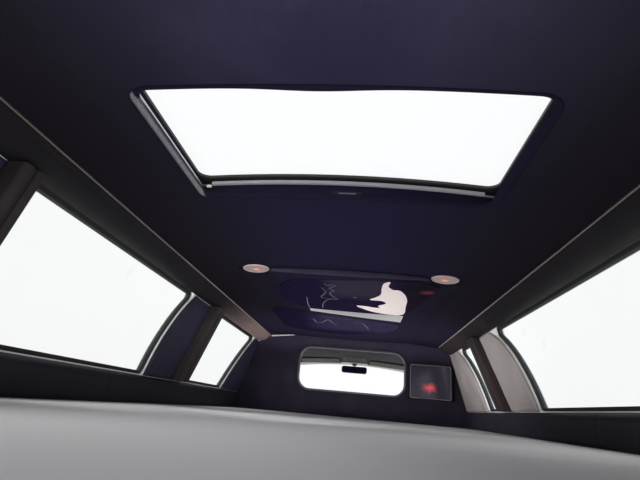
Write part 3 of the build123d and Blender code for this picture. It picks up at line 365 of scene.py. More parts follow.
# painted shade: the right-hand posts are a little darker
POSTS = leather(
    "post_leather", (0.034, 0.028, 0.029), (0.048, 0.040, 0.040),
    painted_lighting=(0.028, 0.021, 0.021), where=on_right,
)


def switch_plastic():
    """Black moulded plate with a paler rocker, a rectangle in its middle."""
    f = Finish("switch_plastic", Roughness=0.45, Specular_IOR_Level=0.2)
    x, _, z = f.axes()
    within = (x - 0.008).absolute().smooth(0.0210, 0.0225)
    level = (z - 0.536).absolute().smooth(0.0026, 0.0034)
    f.set("Base_Color", f.mix((1 - within) * (1 - level), (0.006, 0.005, 0.009), (0.060, 0.055, 0.090)))
    f.bump(f.noise(900.0), 0.0001)
    return f.material


# Nodes whose finish differs from the rest of their slot
OWN_FINISH = {
    "sunroof_switch": switch_plastic(),
    "screen_housing": plastic("housing_plastic", (0.006, 0.005, 0.007), 0.6),
    "ceiling_moulding": metal("polished_moulding", (0.97, 0.96, 0.98), 0.02),
    "headliner_front": suede("driver_headliner", (0.105, 0.100, 0.110), (0.150, 0.145, 0.155)),
    "sunroof_front_seal": plastic("front_seal", (0.30, 0.29, 0.32), 0.6),
}

for subpart in frame["record"]["subparts"]:
    node_name = subpart["node"]
    materials = nodes[node_name].data.materials
    materials.clear()
    materials.append(OWN_FINISH.get(node_name) or MATERIALS[subpart["material_slot"]])


# The forms of the solids, in metres

def arc_radius(half, rise):
    """Radius of the arc that rises that far over that half width."""
    return (half**2 + rise**2) / (2 * rise)


GAP = 0.0003
CROWN_TOP = 0.584
CROWN_RADIUS = arc_radius(0.615, 0.052)
BEND_START = 1.8
BEND_RADIUS = arc_radius(0.9, 0.06)
BEND_CENTRE = CROWN_TOP - BEND_RADIUS
LINER_CENTRE = 0.527
LINER_HALF = 0.578
LINER_RADIUS = arc_radius(LINER_HALF, 0.0305)
PANEL_CENTRE = 0.503
PANEL_HALF = 0.42
PANEL_REAR = -0.290
SILL = 0.1
SIDE_TOP = 0.45
SIDE_TOP_X = 0.6655
SILL_X = 0.768
FOOT_X = 0.772
SIDE_REAR = -1.44
DIVIDER_REAR = 1.29
DIVIDER_FRONT = 1.32
HEADER_Y = 2.61
COVER_TOP = np.array((0.580, 0.4965))
COVER_BOTTOM = np.array((0.660, 0.450))
COVER_BULGE = 0.014
COVER_BACK = 0.005
SUNROOF_Y = -1.1
OPENING = (0.702, 0.400)
OPENING_CORNER = 0.034
LAMP_X = 0.350
LAMP_Y = -0.285
PAD = 0.018
REAR_POST = (-1.163, -1.163)
REAR_POST_WIDTH = 0.063
REAR_PAD = (-1.402, -1.422)
REAR_PAD_BOW = 0.010
MID_POST_WIDTH = 0.110
POST_TO_WINDOW = 0.008
SIDES = (
    # side, middle post, middle pad and its bow, wing and its bow. Each pair is a rear edge's place
    # at its top and at the sill, and each bow is how far the edge bulges to the rear
    ("right", (0.504, 0.370), (0.335, 0.045), 0.091, (1.090, 0.785), 0.095),
    ("left", (0.175, 0.110), (-0.030, -0.155), 0.043, (1.180, 0.885), 0.033),
)
DIVIDER_WINDOW = (0.708, 0.272)
DIVIDER_WINDOW_CORNER = 0.075
DIVIDER_WINDOW_Z = 0.298
HOUSING_CENTRE = (0.522, 0.264)
HOUSING = (0.278, 0.226)
HOUSING_REAR = 1.2497
STEP_HALF = 0.294
LENS_RADIUS = 0.0406
VISOR_AT = (0.32, 2.56)
VISOR_HALF = 0.179
VISOR_REACH = 0.1444
VISOR_EDGE = 0.0066
VISOR_CORNER = 0.028
MIRROR_AT = (2.57, 0.412)
CONSOLE_Y = 2.40
CONSOLE_HALF = 0.1045
MIRROR_FACE = 0.0043

cover_chord = np.hypot(*(COVER_BOTTOM - COVER_TOP))
cover_along = (COVER_BOTTOM - COVER_TOP) / cover_chord
cover_out = np.array((-cover_along[1], cover_along[0]))
cover_radius = arc_radius(cover_chord / 2, COVER_BULGE)
cover_centre = COVER_TOP + cover_along * cover_chord / 2 + cover_out * (cover_radius - COVER_BULGE)
PAD_TOP = cover_centre[1] - cover_radius - GAP


def crown(x, depth):
    """Height of the arc that lies depth below the crown of the roof."""
    return CROWN_TOP - CROWN_RADIUS + np.sqrt((CROWN_RADIUS - depth) ** 2 - x**2)


def liner(x, rise=0.0):
    """Height of the arc that lies rise above the headliner's lower face."""
    return LINER_CENTRE - LINER_RADIUS + np.sqrt((LINER_RADIUS + rise) ** 2 - x**2)


panel_radius = arc_radius(PANEL_HALF, liner(PANEL_HALF, -GAP) - 0.002 - PANEL_CENTRE)


def panel(x, drop):
    """Height of the arc that lies drop below the lowered panel's face."""
    return PANEL_CENTRE + panel_radius - np.sqrt((panel_radius + drop) ** 2 - x**2)


def side(z):
    """Inner face of the body side at height z: two straight runs that meet at the sill."""
    return np.interp(z, (0, SILL, SIDE_TOP), (FOOT_X, SILL_X, SIDE_TOP_X))


def bend(points):
    """Follows the roof line. A point past the straight part turns about the centre of the bend,
    by the angle whose sine is its distance past it over the bend's radius."""
    x, y, z = np.moveaxis(points, -1, 0)
    angle = np.arcsin(np.clip(np.abs(y) - BEND_START, 0, None) / BEND_RADIUS)
    reach = z - BEND_CENTRE
    bent_y = np.sign(y) * (BEND_START + reach * np.sin(angle))
    bent_z = BEND_CENTRE + reach * np.cos(angle)
    return np.stack((x, np.where(angle > 0, bent_y, y), np.where(angle > 0, bent_z, z)), -1)


def roll(distance, radius):
    """Quarter round: 0 at the edge, 1 at a radius from it and beyond."""
    share = np.clip(distance / radius, 0, 1)
    return np.sqrt(1 - (1 - share) ** 2)


def dent(distance, centre, width):
    """A channel: 1 at its middle, and a bell curve that dies away over its width on each side."""
    return np.exp(-(((distance - centre) / width) ** 2))


def crowded(count):
    """Steps from 0 to 1 that crowd together at both ends: half a cosine wave."""
    return (1 - np.cos(np.linspace(0, np.pi, count))) / 2


def full_turn(count):
    """Equal steps of angle round a full turn."""
    return np.linspace(0, 2 * np.pi, count, endpoint=False)


def circle(angle):
    """Points of a circle of radius 1, at those angles."""
    return np.stack((np.cos(angle), np.sin(angle)), -1)


def stack(x, y, z):
    """Points of three arrays, which are stretched to one shape."""
    return np.stack(np.broadcast_arrays(x, y, z), -1).astype(float)


# Mesh building

def grid_faces(rows, columns, start, wrap_rows, wrap_columns):
    """Corners of the quads between neighbours of a grid. A wrapped side is joined to the first."""
    index = start + np.arange(rows * columns).reshape(rows, columns)
    if wrap_rows:
        index = np.concatenate((index, index[:1]))
    if wrap_columns:
        index = np.concatenate((index, index[:, :1]), 1)
    corners = (index[:-1, :-1], index[:-1, 1:], index[1:, 1:], index[1:, :-1])
    return np.stack(corners, -1).reshape(-1, 4)


def piece(name, slot, grids, body="roof", stands_for=(), material=None, sharp=40):
    """One object of closed shells. Each grid is (points, rows wrap, columns wrap), and one with a
    fourth entry, True, has its first and last rows filled. Borders that touch are merged, after
    which every shell faces outwards."""
    vertices, faces, start = [], [], 0
    for points, wrap_rows, wrap_columns, *filled in grids:
        rows, columns = points.shape[:2]
        faces += grid_faces(rows, columns, start, wrap_rows, wrap_columns).tolist()
        if filled:
            faces += (start + np.arange(columns) + np.array(((0,), ((rows - 1) * columns,)))).tolist()
        vertices.append(points.reshape(-1, 3))
        start += len(vertices[-1])
    mesh = bpy.data.meshes.new(name)
    mesh.from_pydata(np.concatenate(vertices).tolist(), [], faces)
    work = bmesh.new()
    work.from_mesh(mesh)
    bmesh.ops.triangulate(work, faces=[face for face in work.faces if len(face.verts) > 4])
    bmesh.ops.remove_doubles(work, verts=work.verts, dist=0.00001)
    bmesh.ops.dissolve_degenerate(work, edges=work.edges, dist=0.000005)
    bmesh.ops.recalc_face_normals(work, faces=work.faces)
    work.to_mesh(mesh)
    work.free()
    mesh.polygons.foreach_set("use_smooth", np.ones(len(mesh.polygons), bool))
    mesh.set_sharp_from_angle(angle=radians(sharp))
    made = bpy.data.objects.new(name, mesh)
    bpy.context.scene.collection.objects.link(made)
    mesh.materials.append(material or MATERIALS[slot])
    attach(made, body)
    if stands_for:
        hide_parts(*stands_for)
    return made


def mirrored(grids):
    """The same grids on the left-hand side."""
    return [(points * (-1, 1, 1), *wraps) for points, *wraps in grids]


def one_side(name, slot, grids, end, padding=None, stands_for=None, **options):
    """A piece on the right, or its mirror image on the left."""
    shells = grids if end == "right" else mirrored(grids)
    node_names = [f"{stands_for}_{end}"] if stands_for else ()
    made = piece(f"{name}_{end}", slot, shells, stands_for=node_names, **options)


def pair(name, slot, grids, **options):
    """A piece on the right and its mirror image on the left."""
    for end in ("right", "left"):
        one_side(name, slot, grids, end, **options)


def ends_closed(points):
    """A tube, its rows being its sections, with a row added at each end in which every point lies
    at the middle of the end section."""
    first, last = (np.broadcast_to(row.mean(0), row.shape) for row in (points[0], points[-1]))
    return [(np.concatenate((first[None], points, last[None])), False, True)]


def slab(front, back):
    """A closed pad of two grids, front and back, that meet along their borders."""
    return [(front, False, False), (back, False, False)]


def on_side(depth, y, z):
    """A pad of that depth on the inner face of the body side."""
    return slab(stack(side(z) - GAP - depth, y, z), stack(side(z) - GAP, y, z))


def ring(count, radius_x, radius_y=None):
    """Section of a bead: an ellipse."""
    return circle(full_turn(count)) * (radius_x, radius_y or radius_x)


def stepped(start, stop, length=0.02):
    """Points from start towards stop in steps of about that length, without stop itself."""
    parts = max(int(np.hypot(*(stop - start)) / length), 1)
    return start + (stop - start) * np.arange(parts)[:, None] / parts


def unit(vectors):
    """Vectors of length 1 in the same directions."""
    return vectors / np.hypot(vectors[..., 0], vectors[..., 1])[..., None]


def round_corners(corners, radius, steps, length=0.02):
    """A closed outline: straight runs between corners, and an arc of that radius and that many
    points in each corner, which touches the runs. The runs are divided into steps of about that
    length."""
    corners = np.asarray(corners, float)
    arcs = []
    for before, here, after in zip(np.roll(corners, 1, 0), corners, np.roll(corners, -1, 0)):
        back, on = unit(before - here), unit(after - here)
        half = np.arccos(np.clip(back @ on, -1, 1)) / 2
        centre = here + unit(back + on) * radius / np.sin(half)
        starts = here + back * radius / np.tan(half) - centre
        ends = here + on * radius / np.tan(half) - centre
        first = np.arctan2(starts[1], starts[0])
        turn = (np.arctan2(ends[1], ends[0]) - first + np.pi) % (2 * np.pi) - np.pi
        arcs.append(centre + radius * circle(first + turn * np.linspace(0, 1, steps)))
    outline = []
    for arc, following in zip(arcs, arcs[1:] + arcs[:1]):
        outline += [arc[:-1], stepped(arc[-1], following[0], length)]
    return np.concatenate(outline)


def outward_of(outline):
    """Unit vectors square to a closed outline in a plane, pointing out of it."""
    after = np.roll(outline, -1, 0)
    along = unit(after - np.roll(outline, 1, 0))
    out = np.stack((along[:, 1], -along[:, 0]), -1)
    area = np.sum(outline[:, 0] * after[:, 1] - after[:, 0] * outline[:, 1])
    return out if area > 0 else -out


def moved_out(outline, across):
    """Both coordinates of an outline's points, each moved out of it by several distances."""
    return np.moveaxis(outline[:, None] + across[..., None] * outward_of(outline)[:, None], -1, 0)


def rectangle(half_x, half_y):
    """Its four corners, from the one with X positive and Y negative."""
    return np.array(((half_x, -half_y), (half_x, half_y), (-half_x, half_y), (-half_x, -half_y)))


# Pads over the pillars

def arc_through(rear, bow, low, high):
    """Centre and radius of the circle through an edge's top and foot and the point halfway up that
    is bow behind the middle between them: each point's square is twice the centre times the point,
    plus a constant."""
    middle = ((rear[0] + rear[1]) / 2 - bow, (low + high) / 2)
    points = np.array(((rear[0], high), middle, (rear[1], low)))
    found = np.linalg.solve(np.column_stack((2 * points, np.ones(3))), np.sum(points**2, 1))
    return found[:2], np.sqrt(found[2] + found[:2] @ found[:2])


def pillar_pad(rear, bow, front):
    """A crowned pad on the body side, from a rear edge on an arc to a straight front edge. Its
    depth rises as a quarter round from every edge, then slowly to the full depth, less a seam
    channel."""
    share, up = np.meshgrid(crowded(72), crowded(64), indexing="ij")
    z = SILL + 0.0005 + (PAD_TOP - SILL - 0.001) * up
    centre, radius = arc_through(rear, bow, SILL, PAD_TOP)
    reach = np.sqrt(radius**2 - (z - centre[1]) ** 2)
    back = centre[0] - reach + 0.0008
    lean = (front[0] - front[1]) / (PAD_TOP - SILL)
    head = front[1] + lean * (z - SILL) - GAP
    y = back + (head - back) * share
    from_rear, from_front = (y - back) * reach / radius, (head - y) / np.hypot(1, lean)
    edge = np.minimum(np.minimum(from_rear, from_front), np.minimum(z - z.min(), z.max() - z))
    depth = 0.0105 * roll(edge, 0.010) + 0.0068 * (1 - np.exp(-edge / 0.035))
    depth -= 0.0020 * dent(edge, 0.022, 0.004)
    depth -= 0.0006 * roll(edge, 0.05) * (1 + np.sin(31 * y + 9 * z) * np.sin(23 * z - 11 * y))
    return on_side(np.clip(depth, 0, PAD), y, z)


def pad_welt(rear, bow):
    """A round welt along a pad's rear edge: a ring carried down its arc, a little inside it."""
    centre, radius = arc_through(rear, bow, SILL, PAD_TOP)
    radius -= 0.0040
    highest = np.arccos(np.clip((PAD_TOP - 0.004 - centre[1]) / radius, -1, 1))
    lowest = np.arccos((SILL + 0.004 - centre[1]) / radius)
    angle = np.linspace(highest, lowest, 60)[:, None]
    section = ring(10, 0.0024, 0.0028)[None]
    y = centre[0] - (radius + section[..., 0]) * np.sin(angle)
    z = centre[1] + (radius + section[..., 0]) * np.cos(angle)
    return ends_closed(stack(side(z) - GAP - 0.0098 - section[..., 1], y, z))


# Posts: two broad round ribs with a black groove between them

def post_section(width):
    """Half of a post's outline in plan, mirrored about its middle: up its side, a quarter round on
    its shoulder, across the rib, and a small quarter round down into the groove."""
    turn = np.linspace(0, np.pi / 2, 7)
    outer = circle(turn) * (-0.009, 0.009) + (0.009, 0.0388)
    inner = circle(turn)[:, ::-1] * 0.005 + (width / 2 - 0.011, 0.0428)
    half = np.concatenate(([(0, 0), (0, 0.02)], outer, inner, [(width / 2 - 0.006, 0.0383), (width / 2, 0.038)]))
    other = half[-2::-1] * (-1, 1) + (width, 0)
    return np.concatenate((half, other))


def leaning(rear, z):
    """Place along the car of a post's straight rear edge at height z."""
    return rear[1] + (rear[0] - rear[1]) * (z - SILL) / (PAD_TOP - SILL)


def upright(rear, section, margin):
    """A section in plan, along the car and in from the body side, at each height from the sill up
    to the rail covers, less a margin. It is closed at both ends."""
    z = np.linspace(SILL + margin, PAD_TOP - margin, 24)[:, None]
    return ends_closed(stack(side(z) - GAP - section[None, :, 1], leaning(rear, z) + section[None, :, 0], z))


def groove_section(width):
    """A rubber strip that lies in the groove of a post: a flat ellipse."""
    return ring(16, 0.0056, 0.0030) + (width / 2, 0.0412)


for end, mid_post, mid_pad, mid_bow, wing, wing_bow in SIDES:
    pads = (
        pillar_pad(REAR_PAD, REAR_PAD_BOW, REAR_POST)
        + pillar_pad(mid_pad, mid_bow, mid_post)
        + pillar_pad(wing, wing_bow, (DIVIDER_REAR, DIVIDER_REAR))
    )
    welts = pad_welt(mid_pad, mid_bow) + pad_welt(wing, wing_bow)
    posts = ((REAR_POST, REAR_POST_WIDTH), (mid_post, MID_POST_WIDTH))
    ribs = [shell for rear, width in posts for shell in upright(rear, post_section(width), 0.0005)]
    strips = [shell for rear, width in posts for shell in upright(rear, groove_section(width), 0.0008)]
    one_side("pillar_pad", "pad_vinyl", pads, end, padding=0.6, stands_for="pillar_pads", material=PADS)
    one_side("pad_welt", "pad_vinyl", welts, end, material=WELT)
    one_side("pillar_post", "cover_leather", ribs, end, stands_for="pillar_posts", material=POSTS, sharp=50)
    one_side("post_groove", "seal_rubber", strips, end)


# Padded covers along the sills

def sill_pad():
    """A long crowned roll: its depth rises as a quarter round from both long edges and from both
    ends, with a seam channel below the top edge and a dip every half metre."""
    front = DIVIDER_REAR - GAP
    close = 0.03 * crowded(40)[:20]
    between = np.linspace(SIDE_REAR + 0.02, DIVIDER_REAR - 0.02, 260)
    y = np.unique(np.concatenate((SIDE_REAR + close, front - close, between)))[:, None]
    z = 0.0005 + (SILL - GAP - 0.001) * crowded(40)[None, :]
    edge = np.minimum(z - z.min(), z.max() - z) + 0 * y
    end = np.minimum(y - SIDE_REAR, front - y)
    depth = (0.014 * roll(edge, 0.014) + 0.0095 * (1 - np.exp(-edge / 0.02))) * roll(end, 0.012)
    depth -= 0.0022 * dent(z.max() - z, 0.020, 0.0035) * roll(end, 0.03)
    depth *= 1 - 0.12 * dent((y + 0.18) % 0.5, 0.25, 0.006)
    return on_side(np.clip(depth, 0, 0.0235), y + 0 * z, z)


pair("sill_pad", "pad_vinyl", sill_pad(), padding=0.7, stands_for="sill_cover")


# Padded covers along the roof rails, with a bead along the upper edge

def cover_section():
    """Section of a rail cover, in along its chord and out from it: a flat arc into the cabin, a
    round nose at each edge and a flat back."""
    along = crowded(30) * (cover_chord - 0.001) + 0.0005
    bulge = np.sqrt(cover_radius**2 - (along - cover_chord / 2) ** 2) - cover_radius + COVER_BULGE
    bulge -= 0.0016 * dent(along, 0.017, 0.0025)
    front_face = np.stack((along, -bulge), -1)
    back_face = np.stack((np.linspace(cover_chord - 0.002, 0.002, 8), np.full(8, COVER_BACK - 0.0002)), -1)
    return np.concatenate((front_face, back_face))


def along_roof(y, section):
    """A section, across the car and up, at each place along the roof line. Both ends are closed."""
    return ends_closed(bend(stack(section[..., 0], y[:, None], section[..., 1])))


def rail_pad(rear, front, steps):
    """The section carried along the roof line. Near each end it shrinks to its middle as a quarter
    round, and its bulge swells and dips a little along the way."""
    nose = 0.028
    close = nose * crowded(24)
    y = np.unique(np.concatenate((rear + close, front - close, np.linspace(rear + nose, front - nose, steps))))
    section = cover_section()
    middle = section.mean(0)
    shrink = 0.35 + 0.65 * roll(np.minimum(y - rear, front - y), nose)[:, None, None]
    shaped = middle + (section - middle) * shrink
    swell = 1 - 0.035 * (1 + np.sin(y * 5.3) * np.sin(y * 2.1 + 1))[:, None]
    out = np.where(shaped[..., 1] < 0, shaped[..., 1] * swell, shaped[..., 1])
    return along_roof(y, COVER_TOP + shaped[..., :1] * cover_along + out[..., None] * cover_out)


pair(
    "rail_pad",
    "cover_leather",
    rail_pad(-HEADER_Y + GAP, DIVIDER_REAR - GAP, 300) + rail_pad(DIVIDER_FRONT + GAP, HEADER_Y - GAP, 120),
    padding=0.8,
    stands_for="rail_cover",
)


def rail_bead(rear, front, steps):
    """A round bead along the upper edge of a rail cover."""
    place = COVER_TOP + 0.0012 * cover_along - 0.0022 * cover_out
    return along_roof(np.linspace(rear, front, steps), place + ring(10, 0.0021))


def piping():
    """The bead's covering: grey, and paler towards the divider, which is a painted highlight along the covers'
    upper edge.
    """
    f = Finish("cover_piping", Specular_IOR_Level=0.5)
    # painted highlight: the bead grows paler towards the divider
    new = f.axes()[1].smooth(-1.6, 1.2)
    f.set("Base_Color", f.mix(new, (0.10, 0.085, 0.075), (0.34, 0.31, 0.29)))
    f.set("Roughness", f.noise(300.0) * 0.15 + 0.35)
    return f.material


cabin_bead = rail_bead(-HEADER_Y + 0.004, DIVIDER_REAR - 0.012, 160)
driver_bead = rail_bead(DIVIDER_FRONT + 0.012, HEADER_Y - 0.004, 60)
pair("rail_bead", "cover_leather", cabin_bead + driver_bead, material=piping())


# Divider: a padded panel with a round-cornered window

def window_loop(angle, grow):
    """Distance from the middle of the divider's window to its edge at an angle, the window being a
    round-cornered rectangle that is grow larger on every side."""
    half_x, half_z = DIVIDER_WINDOW[0] / 2 + grow, DIVIDER_WINDOW[1] / 2 + grow
    outline = round_corners(rectangle(half_x, half_z), DIVIDER_WINDOW_CORNER + grow, 24)
    angles = np.arctan2(outline[:, 1], outline[:, 0])
    order = np.argsort(angles)
    return np.interp(angle, angles[order], np.hypot(*outline[order].T), period=2 * np.pi)


def divider_loop():
    """Outline of the divider, from the ground up its right side, across the top and down."""
    shoulder = (LINER_HALF, liner(LINER_HALF, -GAP))
    up = [(FOOT_X - GAP, 0.0005), (SILL_X - GAP, SILL), tuple(COVER_BOTTOM), shoulder]
    across = np.linspace(LINER_HALF, -LINER_HALF, 60)[1:-1]
    top = [(x, float(liner(x, -GAP))) for x in across]
    corners = np.array(up + top + [(-x, z) for x, z in up[::-1]])
    return np.concatenate([stepped(*ends) for ends in zip(corners, np.roll(corners, -1, 0))])


def divider_pad():
    """Rings between the window's edge and the outline, once on the rear face and once on the front.
    Each face lies back near the outline as a quarter round, less near the window, and dips
    in a seam channel round the window and in one along the bottom."""
    outer = divider_loop() - (0, DIVIDER_WINDOW_Z)
    angle = np.arctan2(outer[:, 1], outer[:, 0])
    inner = window_loop(angle, 0.0063)[:, None] * circle(angle)
    share = crowded(44)[:, None]
    plan = inner[None] + (outer - inner)[None] * share[..., None]
    width = np.hypot(*(outer - inner).T)[None]
    z = plan[..., 1] + DIVIDER_WINDOW_Z
    from_window, from_rim = width * share, width * (1 - share)
    back = 0.013 * (1 - roll(from_rim, 0.016)) + 0.0025 * np.exp(-from_window / 0.05)
    back = back + 0.0030 * np.exp(-from_rim / 0.06) * roll(from_rim, 0.02)
    back = back + 0.0016 * dent(from_window, 0.034, 0.004)
    back = back + 0.0020 * dent(z, 0.105, 0.004) * roll(from_rim, 0.03)
    back = np.clip(back, 0, 0.0145)
    rear_face = stack(plan[..., 0], DIVIDER_REAR + back, z)
    front_face = stack(plan[..., 0], DIVIDER_FRONT - back, z)
    return [(np.concatenate((rear_face, front_face[::-1])), True, True)]


piece("divider_pad", "pad_vinyl", divider_pad(), stands_for=["divider"], material=DIVIDER)


# Sunroof: the headliner's rolled edge round the opening

def rolled_edge():
    """A soft lip carried round the opening. Its section is a round nose under the headliner and
    inside the hole. Along the rear the nose lies further back, and further still to the right, and
    sags inwards by a bell curve near the middle."""
    half_x, half_y = OPENING[0] / 2, OPENING[1] / 2
    outline = round_corners(rectangle(half_x, half_y), OPENING_CORNER, 14, 0.012)
    turn = np.linspace(0, 1, 22)
    at_rear = np.clip(-outline[:, 1] / half_y, 0, 1)[:, None] ** 8
    place = outline[:, :1]
    reach = 0.0060 - at_rear * (0.0072 + 0.005 * np.clip(place, -0.3, 0.3))
    reach += at_rear * 0.010 * dent(place, -0.03, 0.10)
    lip = 0.0118 - (0.0118 + reach) * np.sin(turn * np.pi / 2) ** 1.4
    rise = -0.0006 - 0.0034 * np.sin(turn * np.pi) ** 0.8 + 0.0075 * turn**2.2
    back = np.array(((0.0035, 0.0078), (0.0040, 0.0040), (0.0040, -0.0002), (0.0100, -0.0004)))
    across = np.concatenate((lip, np.broadcast_to(back[:, 0], (len(outline), 4))), 1)
    height = np.concatenate((rise, back[:, 1]))
    x, y = moved_out(outline, across)
    return [(stack(x, SUNROOF_Y + y, liner(x) + height), True, True)]


def edge_highlight_suede():
    """The headliner's cloth, with a painted highlight: pale fibres along the left side of the opening, where the
    rolled edge catches light.
    """
    f = Finish("edge_highlight_suede", Roughness=0.95, Specular_IOR_Level=0.02)
    left = f.axes()[0] * -1.0
    # painted highlight along the left side of the opening, in a fibrous pattern
    edge = left.smooth(0.344, 0.349) * (1 - left.smooth(0.352, 0.359))
    painted_light_patch = edge * f.noise(700.0, 4.0, f.stretched(1.0, 0.3, 1.0)).smooth(0.15, 0.6)
    f.set("Base_Color", f.mix(painted_light_patch, (0.0090, 0.0075, 0.0170), (0.17, 0.16, 0.17)))
    f.bump(f.noise(900.0, 3.0), 0.0008)
    return f.material


piece("opening_roll", "suede", rolled_edge(), stands_for=["sunroof_opening_trim"], material=edge_highlight_suede())


def wall_lining():
    """Cloth down the front wall of the opening, from the headliner's arc up to the light seal: a
    thin strip whose foot rises at both ends, where the headliner's corner comes in front of it."""
    x = np.linspace(-0.363, 0.363, 60)[:, None]
    low = liner(x, 0.0008) + 0.0082 * np.clip((np.abs(x) - 0.300) / 0.025, 0, 1)
    high = crown(x, 0.0243)
    up = np.array((0, 0, 0.5, 1, 1))[None, :]
    depth = np.array((0.0003, 0.0012, 0.0016, 0.0012, 0.0003))[None, :]
    return ends_closed(stack(x, SUNROOF_Y + OPENING[1] / 2 - depth, low + (high - low) * up))


piece("opening_wall_lining", "suede", wall_lining())


def squared(value, power=0.35):
    """A cosine or sine raised to a power below 1, with its sign kept, which squares off a circle."""
    return np.sign(value) * np.abs(value) ** power


def rounded_block(low, high):
    """A small moulded block between two corners: a sphere, squared off."""
    low, high = np.array(low), np.array(high)
    turn = full_turn(28)[:, None]
    tilt = np.linspace(-np.pi / 2, np.pi / 2, 15)[None, :]
    level = squared(np.cos(tilt))
    shape = stack(level * squared(np.cos(turn)), level * squared(np.sin(turn)), squared(np.sin(tilt)))
    return [((low + high) / 2 + shape * (high - low) / 2, True, False)]


CREAM = plastic("cream_clip", (0.78, 0.73, 0.66), 0.5)
clip = rounded_block((-0.3475, -0.9085, 0.5375), (-0.3350, -0.9030, 0.5440))
piece("seal_clip", "seal_grey", clip, material=CREAM)


def divider_highlight_welt():
    """A pale welt in the corner between the divider and the headliner, at the left: a painted highlight where
    the divider's top edge catches light. Its radius shrinks with the square root of what is left of its length."""
    share = np.linspace(0, 1, 30)
    section = ring(12, 1.0)
    radius = (0.0010 + 0.0045 * np.sqrt(1 - share))[:, None]
    x = (-0.574 + 0.176 * share)[:, None] + 0 * section[None, :, 0]
    z = liner(x) - radius + radius * section[None, :, 1]
    return [(stack(x, DIVIDER_REAR - radius + radius * section[None, :, 0], z), False, True, True)]


piece("divider_highlight_welt", "pad_vinyl", divider_highlight_welt(), material=plastic("welt_painted_highlight", (0.62, 0.58, 0.54), 0.45))


def screen_line():
    """A thin bead round the screen's housing, on its rear face near the edge."""
    corners = rectangle(*(np.array(HOUSING) / 2 - 0.009)) + HOUSING_CENTRE
    section = ring(10, 0.0022, 0.0012)
    x, z = moved_out(round_corners(corners, 0.012, 8), section[None, :, 0])
    return [(stack(x, HOUSING_REAR - 0.0013 + section[None, :, 1], z), True, True)]


piece("screen_line", "window_trim", screen_line(), material=plastic("screen_line", (0.13, 0.12, 0.135), 0.4))


# Mirrors on the lowered panel: the silver inlay and the thin inlaid lines

def flowing(points, steps=7, closed=False):
    """A curve through points. Between two neighbours it is the cubic whose slope at each of them is
    half the way from the point before to the point after."""
    points = np.asarray(points, float)
    if closed:
        padded = np.concatenate((points[-1:], points, points[:2]))
    else:
        padded = np.concatenate((2 * points[:1] - points[1:2], points, 2 * points[-1:] - points[-2:-1]))
    before, first, second, after = (padded[k : len(padded) - 3 + k, None] for k in range(4))
    t = np.linspace(0, 1, steps, endpoint=False)[None, :, None]
    curve = first * (2 * t**3 - 3 * t**2 + 1) + second * (3 * t**2 - 2 * t**3)
    curve = curve + (second - before) / 2 * (t**3 - 2 * t**2 + t) + (after - first) / 2 * (t**3 - t**2)
    curve = curve.reshape(-1, 2)
    return curve if closed else np.concatenate((curve, points[-1:]))


def flat_plate(outline, top, bottom, chamfer):
    """A thin plate under the panel: its outline at three depths below the panel's arc, the lowest
    drawn in by the chamfer, with its first and last rows filled."""
    x, y = (place.T for place in moved_out(outline, np.array(((0, 0, -chamfer),))))
    drop = np.array((top, bottom - chamfer, bottom))[:, None]
    return [(stack(x, y, panel(x, drop)), False, True, True)]


INLAY_OUTLINE = (
    (0.147, -0.264), (0.156, -0.259), (0.153, -0.200), (0.174, -0.155), (0.200, -0.148), (0.226, -0.085),
    (0.244, 0.014), (0.249, 0.128), (0.256, 0.265), (0.240, 0.318), (0.208, 0.322), (0.158, 0.306),
    (0.092, 0.260), (0.029, 0.169), (0.075, 0.166), (0.106, 0.182), (0.137, 0.185), (0.127, 0.141),
    (0.158, 0.090), (0.138, 0.039), (0.087, 0.031), (0.114, -0.025), (0.129, -0.077), (0.128, -0.158),
    (0.131, -0.233),
)
inlay = flat_plate(flowing(INLAY_OUTLINE, 6, True), 0.0049, 0.0064, 0.0005)
piece("inlay_plate", "silver_inlay", inlay, stands_for=["ceiling_inlay"])


def inlaid_line(points, width):
    """A low bead on a mirror, carried along a curve in plan: a flat ellipse square to the curve,
    whose width grows from both ends as the fourth root of a sine."""
    path = flowing(points)
    along = unit(np.gradient(path, axis=0))
    taper = np.sin(np.linspace(0.02, 0.98, len(path)) * np.pi)[:, None] ** 0.25
    section = ring(10, width / 2, 0.0006)[None]
    x = path[:, :1] + section[..., 0] * taper * along[:, 1:]
    y = path[:, 1:] - section[..., 0] * taper * along[:, :1]
    return ends_closed(stack(x, y, panel(x, MIRROR_FACE + 0.0007 + section[..., 1] * taper)))


LINES = (
    # on the rear mirror
    (
        (-0.097, -0.195), (-0.088, -0.165), (-0.067, -0.178), (-0.055, -0.160), (-0.080, -0.125),
        (-0.064, -0.080), (-0.083, -0.045), (-0.075, 0.012), (-0.056, 0.062), (-0.086, 0.072),
        (-0.112, 0.110), (-0.128, 0.180), (-0.137, 0.262),
    ),
    ((-0.114, -0.120), (-0.100, -0.065), (-0.112, -0.010), (-0.127, 0.040), (-0.100, 0.062), (-0.070, 0.060)),
    # on the front mirror
    ((-0.170, 0.505), (-0.134, 0.494), (-0.081, 0.512), (-0.005, 0.535), (0.057, 0.604), (0.096, 0.773)),
    (
        (-0.238, 0.565), (-0.210, 0.585), (-0.205, 0.660), (-0.180, 0.680), (-0.150, 0.610),
        (-0.128, 0.560), (-0.112, 0.640), (-0.090, 0.705),
    ),
)
LILAC = metal("lilac_inlay", (0.66, 0.61, 0.84), 0.15, (0.9, 0.86, 1.0))
lines = [shell for points in LINES for shell in inlaid_line(points, 0.0060)]
piece("inlaid_lines", "silver_inlay", lines, material=LILAC)

